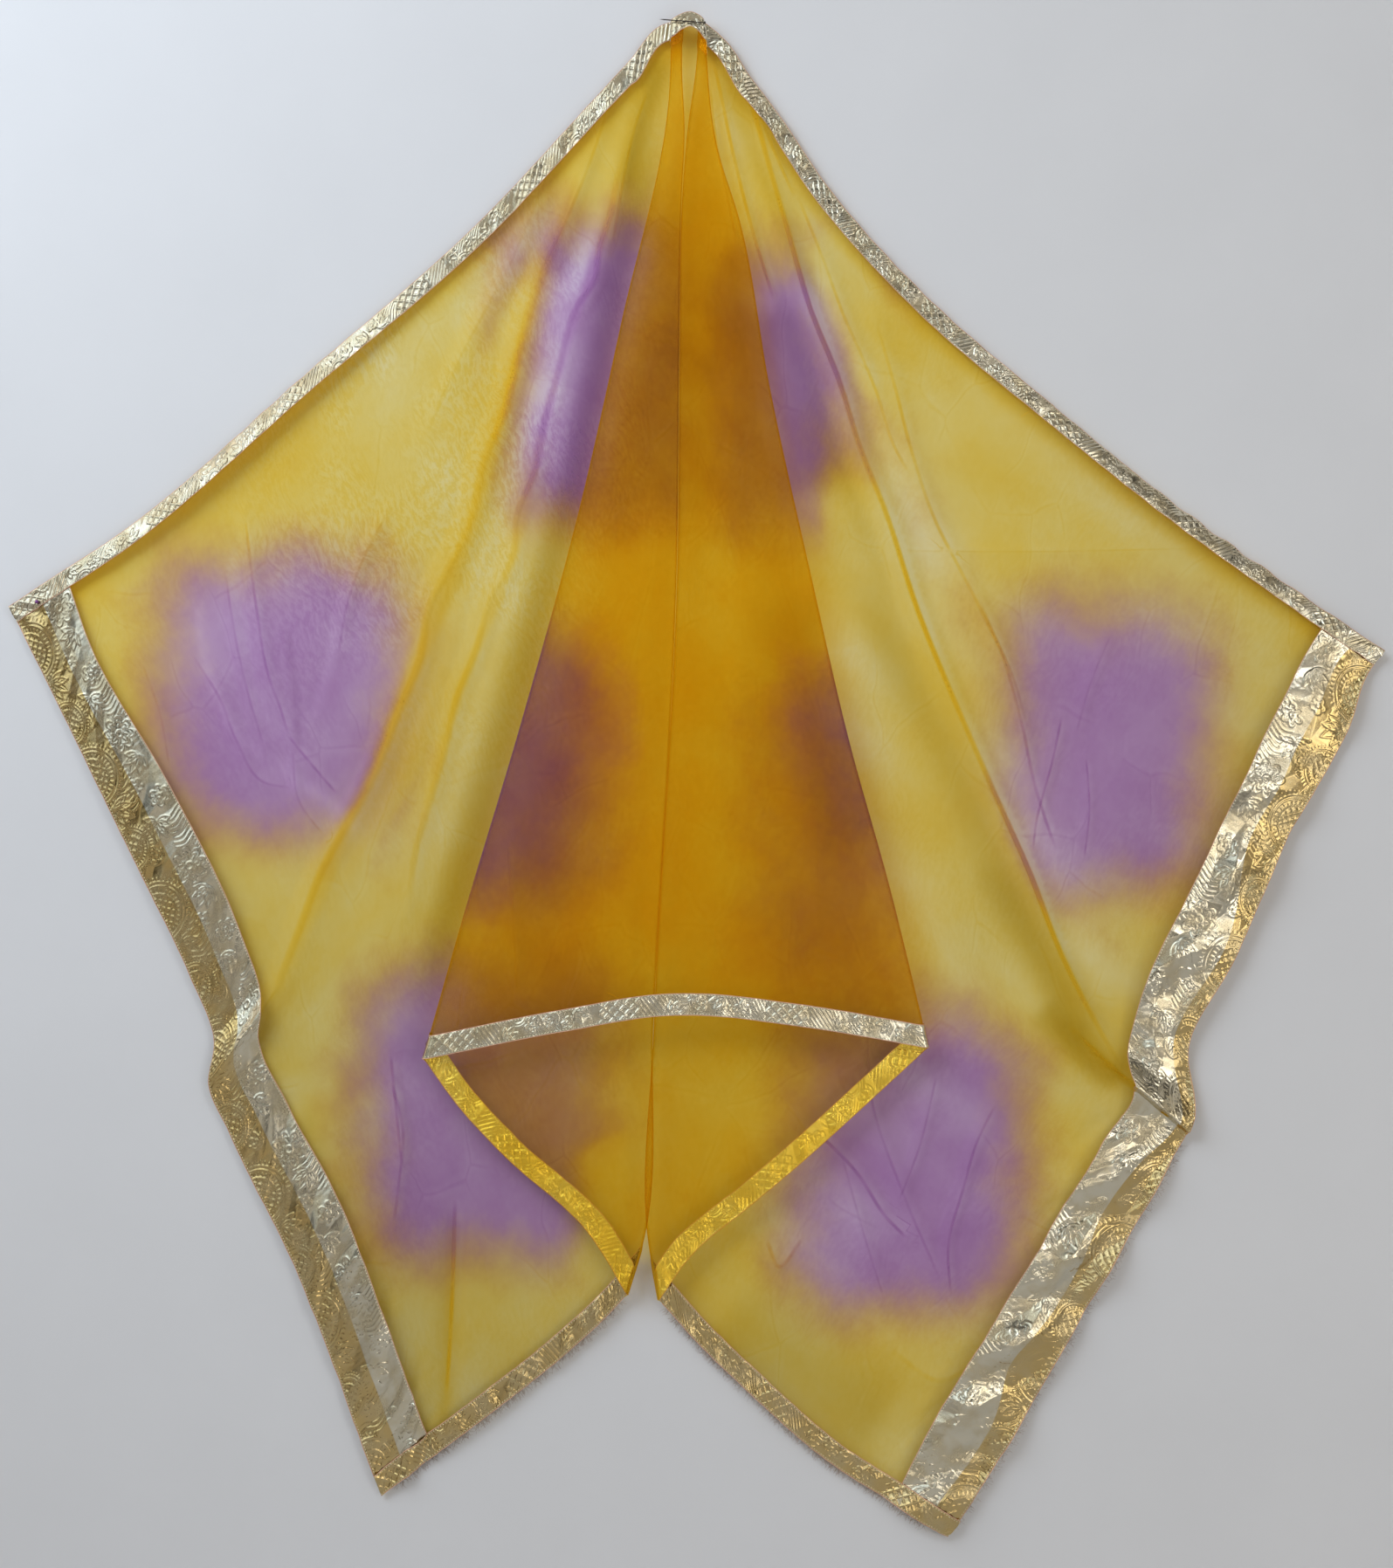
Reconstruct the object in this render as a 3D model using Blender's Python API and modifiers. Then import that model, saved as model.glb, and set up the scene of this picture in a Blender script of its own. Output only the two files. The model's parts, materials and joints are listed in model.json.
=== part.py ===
"""Printed organza dupatta, hung from three wall pins in one deep box pleat.

Frame: metres, +Z up, +X to the viewer's right, the wall is the plane y = 0 and the
cloth hangs in front of it, towards -Y. The origin is where the middle of the top long
edge is gathered and pinned to the wall.

The cloth is one rectangle. Flat, a place on it is (s, t): s runs along the top long edge
from the left end, t runs down from that edge. Four folds fan out from the gather. From
the left they part a flap on the wall, a return that lies over it, the middle panel in
front, a second return, and the right flap on the wall. The strip under each wide ribbon
is a panel of its own, so that the ribbon keeps its outline.
"""
import math
from collections import namedtuple

import bmesh
import bpy
import numpy as np

# ---------------------------------------------------------------- driving sizes
CLOTH_LENGTH = 2.15
CLOTH_WIDTH = 1.10
SHEET = 0.001            # thickness of the cloth's solid, and of each trim's
GAP = 0.0004             # clear space between pieces that touch
NARROW_TRIM = 0.025      # ribbon along both long edges
WIDE_TRIM = 0.076        # ribbon across both short ends

WALL_CLEARANCE = 0.003   # middle of the rearmost layer, from the wall
TOP_SPACING = 0.0075     # between layers at the gather
LOW_SPACING = 0.012      # between layers at the bottom edge
LEAN_STRIP = 0.030       # strip of each flap that leans back to the wall at its top edge
LEAN_START = 0.12        # the lean fades out this near to the gather
TOP_TRIM_SHOWS = 0.020   # width of the leaning ribbon, seen from the front

ROWS = 22                # rows of cloth between the two narrow ribbons
ARC_COLUMNS = 2          # columns on each side of a fold's outermost line
STEP_RUN = 0.008         # length over which a narrow ribbon steps down off a wide one

PIN_LENGTH = 0.053
PIN_RADIUS = 0.0006
PIN_HEAD_RADIUS = 0.0014
PIN_HEAD_LENGTH = 0.0016
PIN_TIP = (-0.032, -0.002)       # (x, z) of the straight pin's point
PIN_DROP = 0.004                 # its head sits this much lower than its point
BALL_RADIUS = 0.0022
BALL_PLACE = (-0.742, -0.662)    # (x, z) of the ball-headed pin in the left corner

# ---------------------------------------------------------------- folds and panels
# Each place is (x, z) on the wall. A line passes smoothly through its places.
Line = namedtuple("Line", "top_s low_s places")
Panel = namedtuple("Panel", "left right layer columns top low")
Swell = namedtuple("Swell", "x z wide high rise")
Crease = namedtuple("Crease", "layer x0 z0 x1 z1 x2 z2 width rise")

LINES = {
    "left_end": Line(0, 0, [
        (-0.776, -0.667), (-0.730, -0.758), (-0.625, -0.972), (-0.569, -1.089),
        (-0.541, -1.170), (-0.547, -1.212), (-0.523, -1.271), (-0.452, -1.414),
        (-0.350, -1.685)]),
    "left_seam": Line(WIDE_TRIM, WIDE_TRIM, [
        (-0.712, -0.625), (-0.681, -0.712), (-0.589, -0.872), (-0.510, -1.038),
        (-0.485, -1.129), (-0.489, -1.159), (-0.457, -1.236), (-0.401, -1.337),
        (-0.330, -1.520), (-0.290, -1.639)]),
    "left_back_fold": Line(1.028, 0.376, [
        (-0.003, 0.005), (-0.006, -0.144), (-0.018, -0.603), (-0.042, -1.142),
        (-0.054, -1.392), (-0.070, -1.452)]),
    "left_front_fold": Line(1.042, 0.731, [
        (-0.014, 0.008), (-0.020, -0.087), (-0.075, -0.345), (-0.121, -0.552),
        (-0.188, -0.802), (-0.259, -1.039), (-0.300, -1.182)]),
    "right_front_fold": Line(1.072, 1.309, [
        (0.022, 0.008), (0.034, -0.144), (0.060, -0.230), (0.094, -0.420),
        (0.140, -0.632), (0.183, -0.821), (0.229, -0.987), (0.274, -1.169)]),
    "right_back_fold": Line(1.086, 1.703, [
        (0.011, 0.005), (0.001, -0.144), (-0.011, -0.603), (-0.035, -1.142),
        (-0.041, -1.392), (-0.033, -1.458)]),
    "right_seam": Line(CLOTH_LENGTH - WIDE_TRIM, CLOTH_LENGTH - WIDE_TRIM, [
        (0.734, -0.676), (0.714, -0.708), (0.631, -0.868), (0.576, -0.983),
        (0.513, -1.126), (0.503, -1.197), (0.509, -1.219), (0.473, -1.281),
        (0.375, -1.442), (0.284, -1.591), (0.234, -1.691)]),
    "right_end": Line(CLOTH_LENGTH, CLOTH_LENGTH, [
        (0.797, -0.718), (0.776, -0.748), (0.754, -0.810), (0.685, -0.931),
        (0.622, -1.075), (0.573, -1.169), (0.579, -1.247), (0.545, -1.316),
        (0.461, -1.461), (0.355, -1.643), (0.298, -1.732)]),
}

# layer 0 lies on the wall, 1 over it, 2 in front; columns lie between those at the sides
PANELS = [
    Panel("left_end", "left_seam", 0, 1, top=[], low=[]),
    Panel("left_seam", "left_back_fold", 0, 12,
          top=[(-0.661, -0.592), (-0.431, -0.397), (-0.236, -0.225), (-0.110, -0.095),
               (-0.064, -0.049), (-0.033, -0.010)],
          low=[(-0.227, -1.591), (-0.143, -1.525), (-0.089, -1.475)]),
    Panel("left_back_fold", "left_front_fold", 1, 4,
          top=[],
          low=[(-0.111, -1.382), (-0.208, -1.292), (-0.263, -1.233)]),
    Panel("left_front_fold", "right_front_fold", 2, 7,
          top=[(0.004, 0.014)],
          low=[(-0.137, -1.149), (-0.019, -1.131), (0.015, -1.131), (0.116, -1.142)]),
    Panel("right_front_fold", "right_back_fold", 1, 4,
          top=[],
          low=[(0.158, -1.275), (0.074, -1.347), (0.003, -1.408)]),
    Panel("right_back_fold", "right_seam", 0, 12,
          top=[(0.038, -0.014), (0.071, -0.060), (0.100, -0.098), (0.163, -0.190),
               (0.272, -0.311), (0.410, -0.431), (0.559, -0.552)],
          low=[(0.010, -1.507), (0.066, -1.561), (0.173, -1.653)]),
    Panel("right_seam", "right_end", 0, 1, top=[], low=[]),
]

# broad bellies that every layer shares, each about 0 at one radius from its middle
SWELLS = [
    Swell(x=-0.42, z=-0.72, wide=0.34, high=0.52, rise=0.020),
    Swell(x=0.45, z=-0.80, wide=0.36, high=0.52, rise=0.022),
    Swell(x=-0.02, z=-0.95, wide=0.42, high=0.75, rise=0.014),
    Swell(x=-0.33, z=-1.42, wide=0.22, high=0.26, rise=0.010),
    Swell(x=0.25, z=-1.45, wide=0.26, high=0.28, rise=0.012),
]

# ridges (rise > 0) and troughs (rise < 0), each a bowed line through three places
CREASES = [
    Crease(0, -0.121, -0.154, -0.245, -0.572, -0.486, -1.155, width=0.030, rise=0.010),
    Crease(0, -0.059, -0.122, -0.175, -0.518, -0.310, -0.951, width=0.026, rise=0.006),
    Crease(0, -0.497, -0.608, -0.474, -0.749, -0.452, -0.816, width=0.030, rise=0.004),
    Crease(0, -0.485, -1.129, -0.517, -1.172, -0.547, -1.212, width=0.030, rise=0.008),
    Crease(0, -0.265, -1.345, -0.268, -1.442, -0.276, -1.574, width=0.030, rise=-0.004),
    Crease(0, 0.048, -0.049, 0.226, -0.563, 0.473, -1.157, width=0.030, rise=0.010),
    Crease(0, 0.123, -0.190, 0.238, -0.420, 0.386, -0.812, width=0.028, rise=0.005),
    Crease(0, 0.195, -0.605, 0.303, -0.842, 0.469, -1.194, width=0.045, rise=-0.008),
    Crease(0, 0.490, -1.197, 0.538, -1.237, 0.585, -1.277, width=0.032, rise=0.013),
    Crease(2, 0.055, -0.297, 0.049, -0.473, 0.039, -0.648, width=0.030, rise=0.002),
]


# ---------------------------------------------------------------- the folded surface
def ease(value):
    """0 below 0, 1 above 1, and a smooth step between."""
    value = np.clip(value, 0, 1)
    return value * value * (3 - 2 * value)


def along(places, fraction):
    """Points at fractions (0 to 1) of the length of a smooth line through places."""
    places = np.array(places, dtype=float)
    legs = np.linalg.norm(np.diff(places, axis=0), axis=1)
    reach = np.concatenate([[0.0], np.cumsum(legs)]) / legs.sum()
    slope = np.gradient(places, reach, axis=0)
    fraction = np.asarray(fraction, dtype=float)
    span = np.clip(np.searchsorted(reach, fraction, side="right") - 1, 0, len(legs) - 1)
    run = (reach[span + 1] - reach[span])[..., None]
    f = (fraction - reach[span])[..., None] / run
    ends = (1 + 2 * f) * (1 - f) ** 2 * places[span] + f * f * (3 - 2 * f) * places[span + 1]
    return ends + run * (f * (1 - f) ** 2 * slope[span] - f * f * (1 - f) * slope[span + 1])


def patch_point(panel, across, down):
    """(x, z) in a panel's outline: across and down run from 0 to 1."""
    left, right = LINES[panel.left].places, LINES[panel.right].places
    top = along([left[0], *panel.top, right[0]], across)
    low = along([left[-1], *panel.low, right[-1]], across)
    a, d = across[..., None], down[..., None]
    sides = (1 - a) * along(left, down) + a * along(right, down)
    corners = ((1 - d) * ((1 - a) * np.array(left[0]) + a * np.array(right[0]))
               + d * ((1 - a) * np.array(left[-1]) + a * np.array(right[-1])))
    return (1 - d) * top + d * low + sides - corners


def depth_of_patch(panel, across, down, edge_direction, inward_direction):
    """Metres per unit of the patch, square to an edge of the cloth."""
    step = 1e-4
    here = patch_point(panel, across, down)
    edge = patch_point(panel, across + step * edge_direction[0],
                       down + step * edge_direction[1]) - here
    inward = patch_point(panel, across + step * inward_direction[0],
                         down + step * inward_direction[1]) - here
    crossed = edge[..., 0] * inward[..., 1] - edge[..., 1] * inward[..., 0]
    return np.abs(crossed) / np.linalg.norm(edge, axis=-1) / step


def flat_s(line_name, t):
    """Where a line of the folds runs on the flat cloth."""
    line = LINES[line_name]
    return line.top_s + (line.low_s - line.top_s) * t / CLOTH_WIDTH


def is_fold(line_name):
    return line_name.endswith("_fold")


def spacing(t):
    """From one layer to the next."""
    return TOP_SPACING + (LOW_SPACING - TOP_SPACING) * t / CLOTH_WIDTH


def round_fold(distance, radius):
    """Width seen from the front, and how far the quarter turn is done (0 to 1)."""
    angle = np.clip(distance / radius, 0, math.pi / 2)
    straight = np.clip(distance - radius * math.pi / 2, 0, None)
    return radius * (1 - np.cos(angle)) + straight, np.sin(angle)


def across_share(panel, s, t):
    """The patch's across value, and how far each side's turn is done."""
    to_left, to_right = s - flat_s(panel.left, t), flat_s(panel.right, t) - s
    radius = spacing(t) / 2
    seen_left, turn_left = to_left, np.ones_like(s)
    seen_right, turn_right = to_right, np.ones_like(s)
    full = to_left + to_right
    if is_fold(panel.left):
        seen_left, turn_left = round_fold(to_left, radius)
        full = full - radius * (math.pi / 2 - 1)
    if is_fold(panel.right):
        seen_right, turn_right = round_fold(to_right, radius)
        full = full - radius * (math.pi / 2 - 1)
    share = np.where(to_left < to_right, seen_left, full - seen_right) / full
    return share, turn_left, turn_right


def down_share(panel, across, t):
    """The patch's down value, which keeps each narrow ribbon's width."""
    shows = TOP_TRIM_SHOWS if panel.layer == 0 else NARROW_TRIM
    top = shows / depth_of_patch(panel, across, np.zeros_like(t), (1, 0), (0, 1))
    low = NARROW_TRIM / depth_of_patch(panel, across, np.ones_like(t), (1, 0), (0, -1))
    from_low = CLOTH_WIDTH - t
    middle = (t - NARROW_TRIM) / (CLOTH_WIDTH - 2 * NARROW_TRIM)
    share = top + (1 - low - top) * middle
    share = np.where(t < NARROW_TRIM, top * t / NARROW_TRIM, share)
    return np.where(from_low < NARROW_TRIM, 1 - low * from_low / NARROW_TRIM, share)


def swell_rise(x, z):
    """How far the shared bellies lift the cloth off the wall."""
    rise = np.zeros_like(x)
    for swell in SWELLS:
        reach = ((x - swell.x) / swell.wide) ** 2 + ((z - swell.z) / swell.high) ** 2
        rise += swell.rise * np.clip(1 - reach, 0, None) ** 2
    return rise


def crease_rise(layer, x, z, samples=16):
    """How far one layer's own ridges and troughs lift it."""
    rise = np.zeros_like(x)
    for crease in (row for row in CREASES if row.layer == layer):
        ends = [(crease.x0, crease.z0), (crease.x1, crease.z1), (crease.x2, crease.z2)]
        shares = np.linspace(0, 1, samples + 1)
        route = along(ends, shares)
        away = np.hypot(x[..., None] - route[:, 0], z[..., None] - route[:, 1])
        nearest = np.argmin(away, axis=-1)
        side = 0.5 + 0.5 * np.cos(math.pi * np.clip(away.min(axis=-1) / crease.width, 0, 1))
        taper = np.sin(math.pi * np.clip(shares[nearest], 0.08, 0.92))
        rise += crease.rise * side * taper
    return rise


def cloth_point(panel, s, t):
    """(x, y, z) of the middle of the cloth's thickness at flat places of one panel."""
    across, turn_left, turn_right = across_share(panel, s, t)
    down = down_share(panel, across, t)
    x, z = np.moveaxis(patch_point(panel, across, down), -1, 0)
    layer = panel.layer + sum(
        (side_layer - panel.layer) * (1 - turn)
        for side_layer, turn in zip(fold_layers(panel), (turn_left, turn_right)))
    lift = swell_rise(x, z) + crease_rise(panel.layer, x, z) * turn_left * turn_right
    if panel.layer == 0:
        from_fold = np.maximum(flat_s("left_back_fold", t) - s,
                               s - flat_s("right_back_fold", t))
        lean = np.clip(1 - t / LEAN_STRIP, 0, 1) ** 2 * ease(from_fold / LEAN_START)
        lift = lift * (1 - lean)
    return np.stack([x, -(WALL_CLEARANCE + spacing(t) * layer + lift), z], axis=-1)


def fold_layers(panel):
    """The height, in layers, of the outermost line of the folds on a panel's sides."""
    place = PANELS.index(panel)
    before = PANELS[place - 1].layer if place > 0 else panel.layer
    after = PANELS[place + 1].layer if place + 1 < len(PANELS) else panel.layer
    return (panel.layer + before) / 2, (panel.layer + after) / 2


# ---------------------------------------------------------------- grid lines of the mesh
def side_columns(line_name, t, on_ribbon):
    """Distances of the mesh's columns from one side of a panel."""
    if is_fold(line_name):
        arc = spacing(t) * math.pi / 4
        return [arc * k / ARC_COLUMNS for k in range(ARC_COLUMNS + 1)]
    return [0] if on_ribbon else [0, STEP_RUN, 2 * STEP_RUN]


def panel_columns(panel, t):
    """s of a panel's mesh columns at one row."""
    start, end = flat_s(panel.left, t), flat_s(panel.right, t)
    on_ribbon = panel in (PANELS[0], PANELS[-1])
    left = side_columns(panel.left, t, on_ribbon)
    right = side_columns(panel.right, t, on_ribbon)
    inner = np.linspace(start + left[-1], end - right[-1], panel.columns + 2)[1:-1]
    return np.concatenate([start + np.array(left), inner, end - np.array(right[::-1])])


def row_marks():
    inner = np.linspace(NARROW_TRIM, CLOTH_WIDTH - NARROW_TRIM, ROWS + 1)
    return np.concatenate([[0.0], inner, [CLOTH_WIDTH]])


def cloth_rows():
    """Points of the whole cloth, one row of the mesh after another, and s of each."""
    points, places = [], []
    for t in row_marks():
        row_points, row_places = [], []
        for number, panel in enumerate(PANELS):
            s = panel_columns(panel, t)[min(number, 1):]    # a fold's line comes once
            row_points.append(cloth_point(panel, s, np.full_like(s, t)))
            row_places.append(s)
        points.append(np.concatenate(row_points))
        places.append(np.concatenate(row_places))
    return np.array(points), np.array(places)


# ---------------------------------------------------------------- building the objects
def clear_scene():
    for item in list(bpy.data.objects):
        bpy.data.objects.remove(item, do_unlink=True)


def material(name, colour, roughness, metallic=0.0):
    made = bpy.data.materials.new(name)
    made.use_nodes = True
    shader = made.node_tree.nodes["Principled BSDF"]
    shader.inputs["Base Color"].default_value = (*colour, 1.0)
    shader.inputs["Roughness"].default_value = roughness
    shader.inputs["Metallic"].default_value = metallic
    return made


def add_object(name, mesh, finish, collection):
    mesh.materials.append(finish)
    made = bpy.data.objects.new(name, mesh)
    collection.objects.link(made)
    return made


def sheet(name, points, raised, finish, collection):
    """A thin solid through a grid of points, each first raised along its normal."""
    rows, columns = points.shape[:2]
    bm = bmesh.new()
    bmesh.ops.create_grid(bm, x_segments=columns - 1, y_segments=rows - 1, size=0.5)
    for vertex in bm.verts:
        column = round((vertex.co.x + 0.5) * (columns - 1))
        row = rows - 1 - round((vertex.co.y + 0.5) * (rows - 1))
        vertex.co = points[row, column]
    bmesh.ops.triangulate(bm, faces=bm.faces[:], quad_method="FIXED")
    bm.normal_update()
    heights = raised[::-1].ravel()
    for vertex, height in zip(bm.verts, heights):
        vertex.co = vertex.co + vertex.normal * float(height)
    mesh = bpy.data.meshes.new(name)
    bm.to_mesh(mesh)
    bm.free()
    made = add_object(name, mesh, finish, collection)
    solidify = made.modifiers.new("Thickness", "SOLIDIFY")
    solidify.thickness = SHEET
    solidify.offset = 0.0
    made.data.shade_smooth()
    return made


def turned(name, profile, finish, collection):
    """A closed round piece: profile is (radius, height) from its tip to its other end."""
    bm = bmesh.new()
    corners = [bm.verts.new((radius, 0.0, height)) for radius, height in profile]
    for first, second in zip(corners, corners[1:]):
        bm.edges.new((first, second))
    mesh = bpy.data.meshes.new(name)
    bm.to_mesh(mesh)
    bm.free()
    made = add_object(name, mesh, finish, collection)
    screw = made.modifiers.new("Turn", "SCREW")
    screw.steps = screw.render_steps = 12
    screw.use_merge_vertices = True
    screw.merge_threshold = 0.00001
    return made


def apex_pin(front, finish, collection):
    """The straight pin across the gathered ribbon: a point, a shank and a flat head."""
    shank = PIN_LENGTH - PIN_HEAD_LENGTH
    profile = [(0.0, PIN_LENGTH), (PIN_HEAD_RADIUS, PIN_LENGTH), (PIN_HEAD_RADIUS, shank),
               (PIN_RADIUS, shank), (PIN_RADIUS, 0.005), (0.0, 0.0)]
    pin = turned("apex_pin", profile, finish, collection)
    pin.location = (PIN_TIP[0], front - GAP - PIN_HEAD_RADIUS, PIN_TIP[1])
    pin.rotation_euler = (0.0, math.pi / 2 + math.asin(PIN_DROP / PIN_LENGTH), 0.0)
    return pin


def corner_pin(front, finish, collection):
    bm = bmesh.new()
    bmesh.ops.create_uvsphere(bm, u_segments=12, v_segments=8, radius=BALL_RADIUS)
    mesh = bpy.data.meshes.new("corner_pin")
    bm.to_mesh(mesh)
    bm.free()
    ball = add_object("corner_pin", mesh, finish, collection)
    ball.location = (BALL_PLACE[0], front - GAP - BALL_RADIUS, BALL_PLACE[1])
    ball.data.shade_smooth()
    return ball


def front_near(points, x, z, reach):
    """The y of the foremost cloth within reach of a place."""
    near = np.hypot(points[..., 0] - x, points[..., 2] - z) < reach
    return float(points[..., 1][near].min())


def build():
    clear_scene()
    collection = bpy.data.collections.new("Dupatta")
    bpy.context.scene.collection.children.link(collection)
    organza = material("Yellow organza", (0.75, 0.52, 0.06), 0.6)
    gold = material("Gold foil ribbon", (0.76, 0.62, 0.36), 0.3, 0.9)
    steel = material("Dark steel", (0.10, 0.09, 0.09), 0.35, 0.9)
    purple = material("Purple glass", (0.20, 0.04, 0.26), 0.25)

    points, s = cloth_rows()
    sheet("organza_cloth", points, np.zeros_like(s), organza, collection)

    on_cloth, on_ribbon = SHEET + GAP, 2 * (SHEET + GAP)
    from_end = np.minimum(s, CLOTH_LENGTH - s)
    narrow_rise = np.where(from_end < WIDE_TRIM + 1.5 * STEP_RUN, on_ribbon, on_cloth)
    wide_rise = np.full_like(s, on_cloth)
    columns = PANELS[0].columns + 2
    left_end, right_end = slice(None, columns), slice(-columns, None)
    sheet("top_trim", points[:2], narrow_rise[:2], gold, collection)
    sheet("bottom_trim", points[-2:], narrow_rise[-2:], gold, collection)
    sheet("left_end_trim", points[:, left_end], wide_rise[:, left_end], gold, collection)
    sheet("right_end_trim", points[:, right_end], wide_rise[:, right_end], gold, collection)

    ribbon_face = on_cloth + SHEET / 2
    gather = front_near(points, 0.0, 0.0, 0.03) - ribbon_face
    apex_pin(gather, steel, collection)
    corner = front_near(points, *BALL_PLACE, 0.03) - ribbon_face - on_cloth
    corner_pin(corner, purple, collection)


build()
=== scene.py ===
# %% [markdown]
# # A printed organza dupatta, hung from three wall pins
# The piece is one rectangle of sheer yellow organza with blurred lilac squares. Foil ribbon
# is sewn round it: a narrow one along the long edges, a wide one across the short ends. The
# middle of the top edge is gathered under a pin, so the cloth falls in one deep box pleat.
# Everything here is in metres, +Z is up and the cloth faces -Y, with the wall behind it.
# The packed CAD model comes first, because its box is the size that the looks must keep.

# %% Load the frame
import json
import math
from collections import namedtuple

import bmesh
import bpy
import numpy as np
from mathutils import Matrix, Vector

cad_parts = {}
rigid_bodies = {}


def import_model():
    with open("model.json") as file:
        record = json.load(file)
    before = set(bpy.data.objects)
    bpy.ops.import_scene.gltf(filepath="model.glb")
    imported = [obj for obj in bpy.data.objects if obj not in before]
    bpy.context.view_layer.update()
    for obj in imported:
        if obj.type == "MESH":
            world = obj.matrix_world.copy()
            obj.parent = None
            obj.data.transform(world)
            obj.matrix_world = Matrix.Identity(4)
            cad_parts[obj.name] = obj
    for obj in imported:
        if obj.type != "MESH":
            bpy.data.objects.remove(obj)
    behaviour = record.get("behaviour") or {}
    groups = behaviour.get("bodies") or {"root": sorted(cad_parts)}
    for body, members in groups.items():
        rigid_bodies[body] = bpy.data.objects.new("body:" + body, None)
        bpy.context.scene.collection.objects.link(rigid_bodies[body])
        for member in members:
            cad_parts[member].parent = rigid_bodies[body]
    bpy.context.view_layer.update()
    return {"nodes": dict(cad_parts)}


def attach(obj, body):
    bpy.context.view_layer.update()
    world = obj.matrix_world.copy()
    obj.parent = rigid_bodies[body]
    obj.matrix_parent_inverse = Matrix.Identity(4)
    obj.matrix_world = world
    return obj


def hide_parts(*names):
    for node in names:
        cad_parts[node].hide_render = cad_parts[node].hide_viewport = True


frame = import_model()
print("CAD nodes:", sorted(frame["nodes"]))

# %% [markdown]
# ## The camera
# The dupatta hangs flat on a wall, so the camera looks straight at the wall from 2.4 m. Its
# lens follows from how much of the wall it has to take in.

# %% Camera
CAMERA_PLACE = (0.0105, -2.4, -0.870)
VIEW_HEIGHT = 1.796      # metres of wall from the top of the picture to the bottom
SENSOR = 36.0


def to_scene(name, data, place=(0, 0, 0), turn=(0, 0, 0)):
    made = bpy.data.objects.new(name, data)
    made.location, made.rotation_euler = place, turn
    bpy.context.scene.collection.objects.link(made)
    return made


lens = bpy.data.cameras.new("camera")
lens.sensor_width = SENSOR
lens.lens = SENSOR * abs(CAMERA_PLACE[1]) / VIEW_HEIGHT
bpy.context.scene.camera = to_scene("camera", lens, CAMERA_PLACE, (math.pi / 2, 0, 0))
bpy.context.scene.view_settings.view_transform = "Standard"
print("lens:", round(lens.lens, 1), "mm")

# %% [markdown]
# ## Materials as formulas
# A material is a graph of nodes. Wiring each by hand takes a page, so a small class adds a
# node, fills its sockets and links it in one line, and a graph reads like a formula.

# %% Helpers for nodes
def new_material(name):
    made = bpy.data.materials.new(name)
    made.use_nodes = True
    made.node_tree.nodes.clear()
    return made


class Nodes:
    """Adds nodes to one material and links them as they are made."""

    def __init__(self, material):
        self.tree = material.node_tree

    def add(self, kind, links=None, **settings):
        node = self.tree.nodes.new("ShaderNode" + kind)
        for name, value in settings.items():
            setattr(node, name, value)
        for socket, value in (links or {}).items():
            self.put(node.inputs[socket], value)
        return node

    def first(self, kind, links=None, **settings):
        return self.add(kind, links, **settings).outputs[0]

    def put(self, socket, value):
        if isinstance(value, bpy.types.NodeSocket):
            self.tree.links.new(value, socket)
        else:
            socket.default_value = value

    def calc(self, operation, *values, clamp=False):
        return self.first("Math", dict(enumerate(values)), operation=operation, use_clamp=clamp)

    def plus(self, one, other):
        return self.calc("ADD", one, other)

    def less(self, one, other):
        return self.calc("SUBTRACT", one, other)

    def times(self, one, other, plus=None):
        """one x other, or one x other + plus."""
        if plus is None:
            return self.calc("MULTIPLY", one, other)
        return self.calc("MULTIPLY_ADD", one, other, plus)

    def step(self, value, low, high, to_low=0.0, to_high=1.0):
        """A smooth step from to_low at low to to_high at high."""
        return self.first("MapRange", {0: value, 1: low, 2: high, 3: to_low, 4: to_high},
                          interpolation_type="SMOOTHSTEP")

    def mix(self, share, first, second, blend="MIX"):
        node = self.add("Mix", {0: share, 6: first, 7: second}, data_type="RGBA",
                        blend_type=blend)
        return node.outputs[2]

    def noise(self, place, scale, detail=2.0, rough=0.5, stretch=None, kind="2D"):
        if stretch:
            place = self.first("Mapping", {0: place, 3: stretch})
        return self.first("TexNoise", {0: place, 2: scale, 3: detail, 4: rough},
                          noise_dimensions=kind)

    def object_place(self):
        return self.add("TexCoord").outputs["Object"]

    def split(self, vector):
        return self.add("SeparateXYZ", {0: vector}).outputs

    def attribute(self, name, output="Fac"):
        return self.add("Attribute", attribute_name=name).outputs[output]

    def finish(self, shader):
        self.add("OutputMaterial", {0: shader})


print("node helpers:", [name for name in vars(Nodes) if not name.startswith("_")])

# %% [markdown]
# ## Wall and floor
# Organza shows what is behind it, so the wall is half of its colour. A plain pale wall stands
# right behind the cloth and lets only views from the front see it; its back is clear, so the
# cloth can be looked at from behind.

# %% Wall and floor
WALL_PLACE = 0.004       # just behind the wall plane of the frame
FLOOR_HEIGHT = -2.60
STAGE_SIZE = 9.0
MOTTLE = 0.03            # how far the paint strays from its colour


def grid_mesh(name, columns, rows, half_size):
    bm = bmesh.new()
    bmesh.ops.create_grid(bm, x_segments=columns, y_segments=rows, size=half_size)
    mesh = bpy.data.meshes.new(name)
    bm.to_mesh(mesh)
    bm.free()
    return mesh


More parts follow.
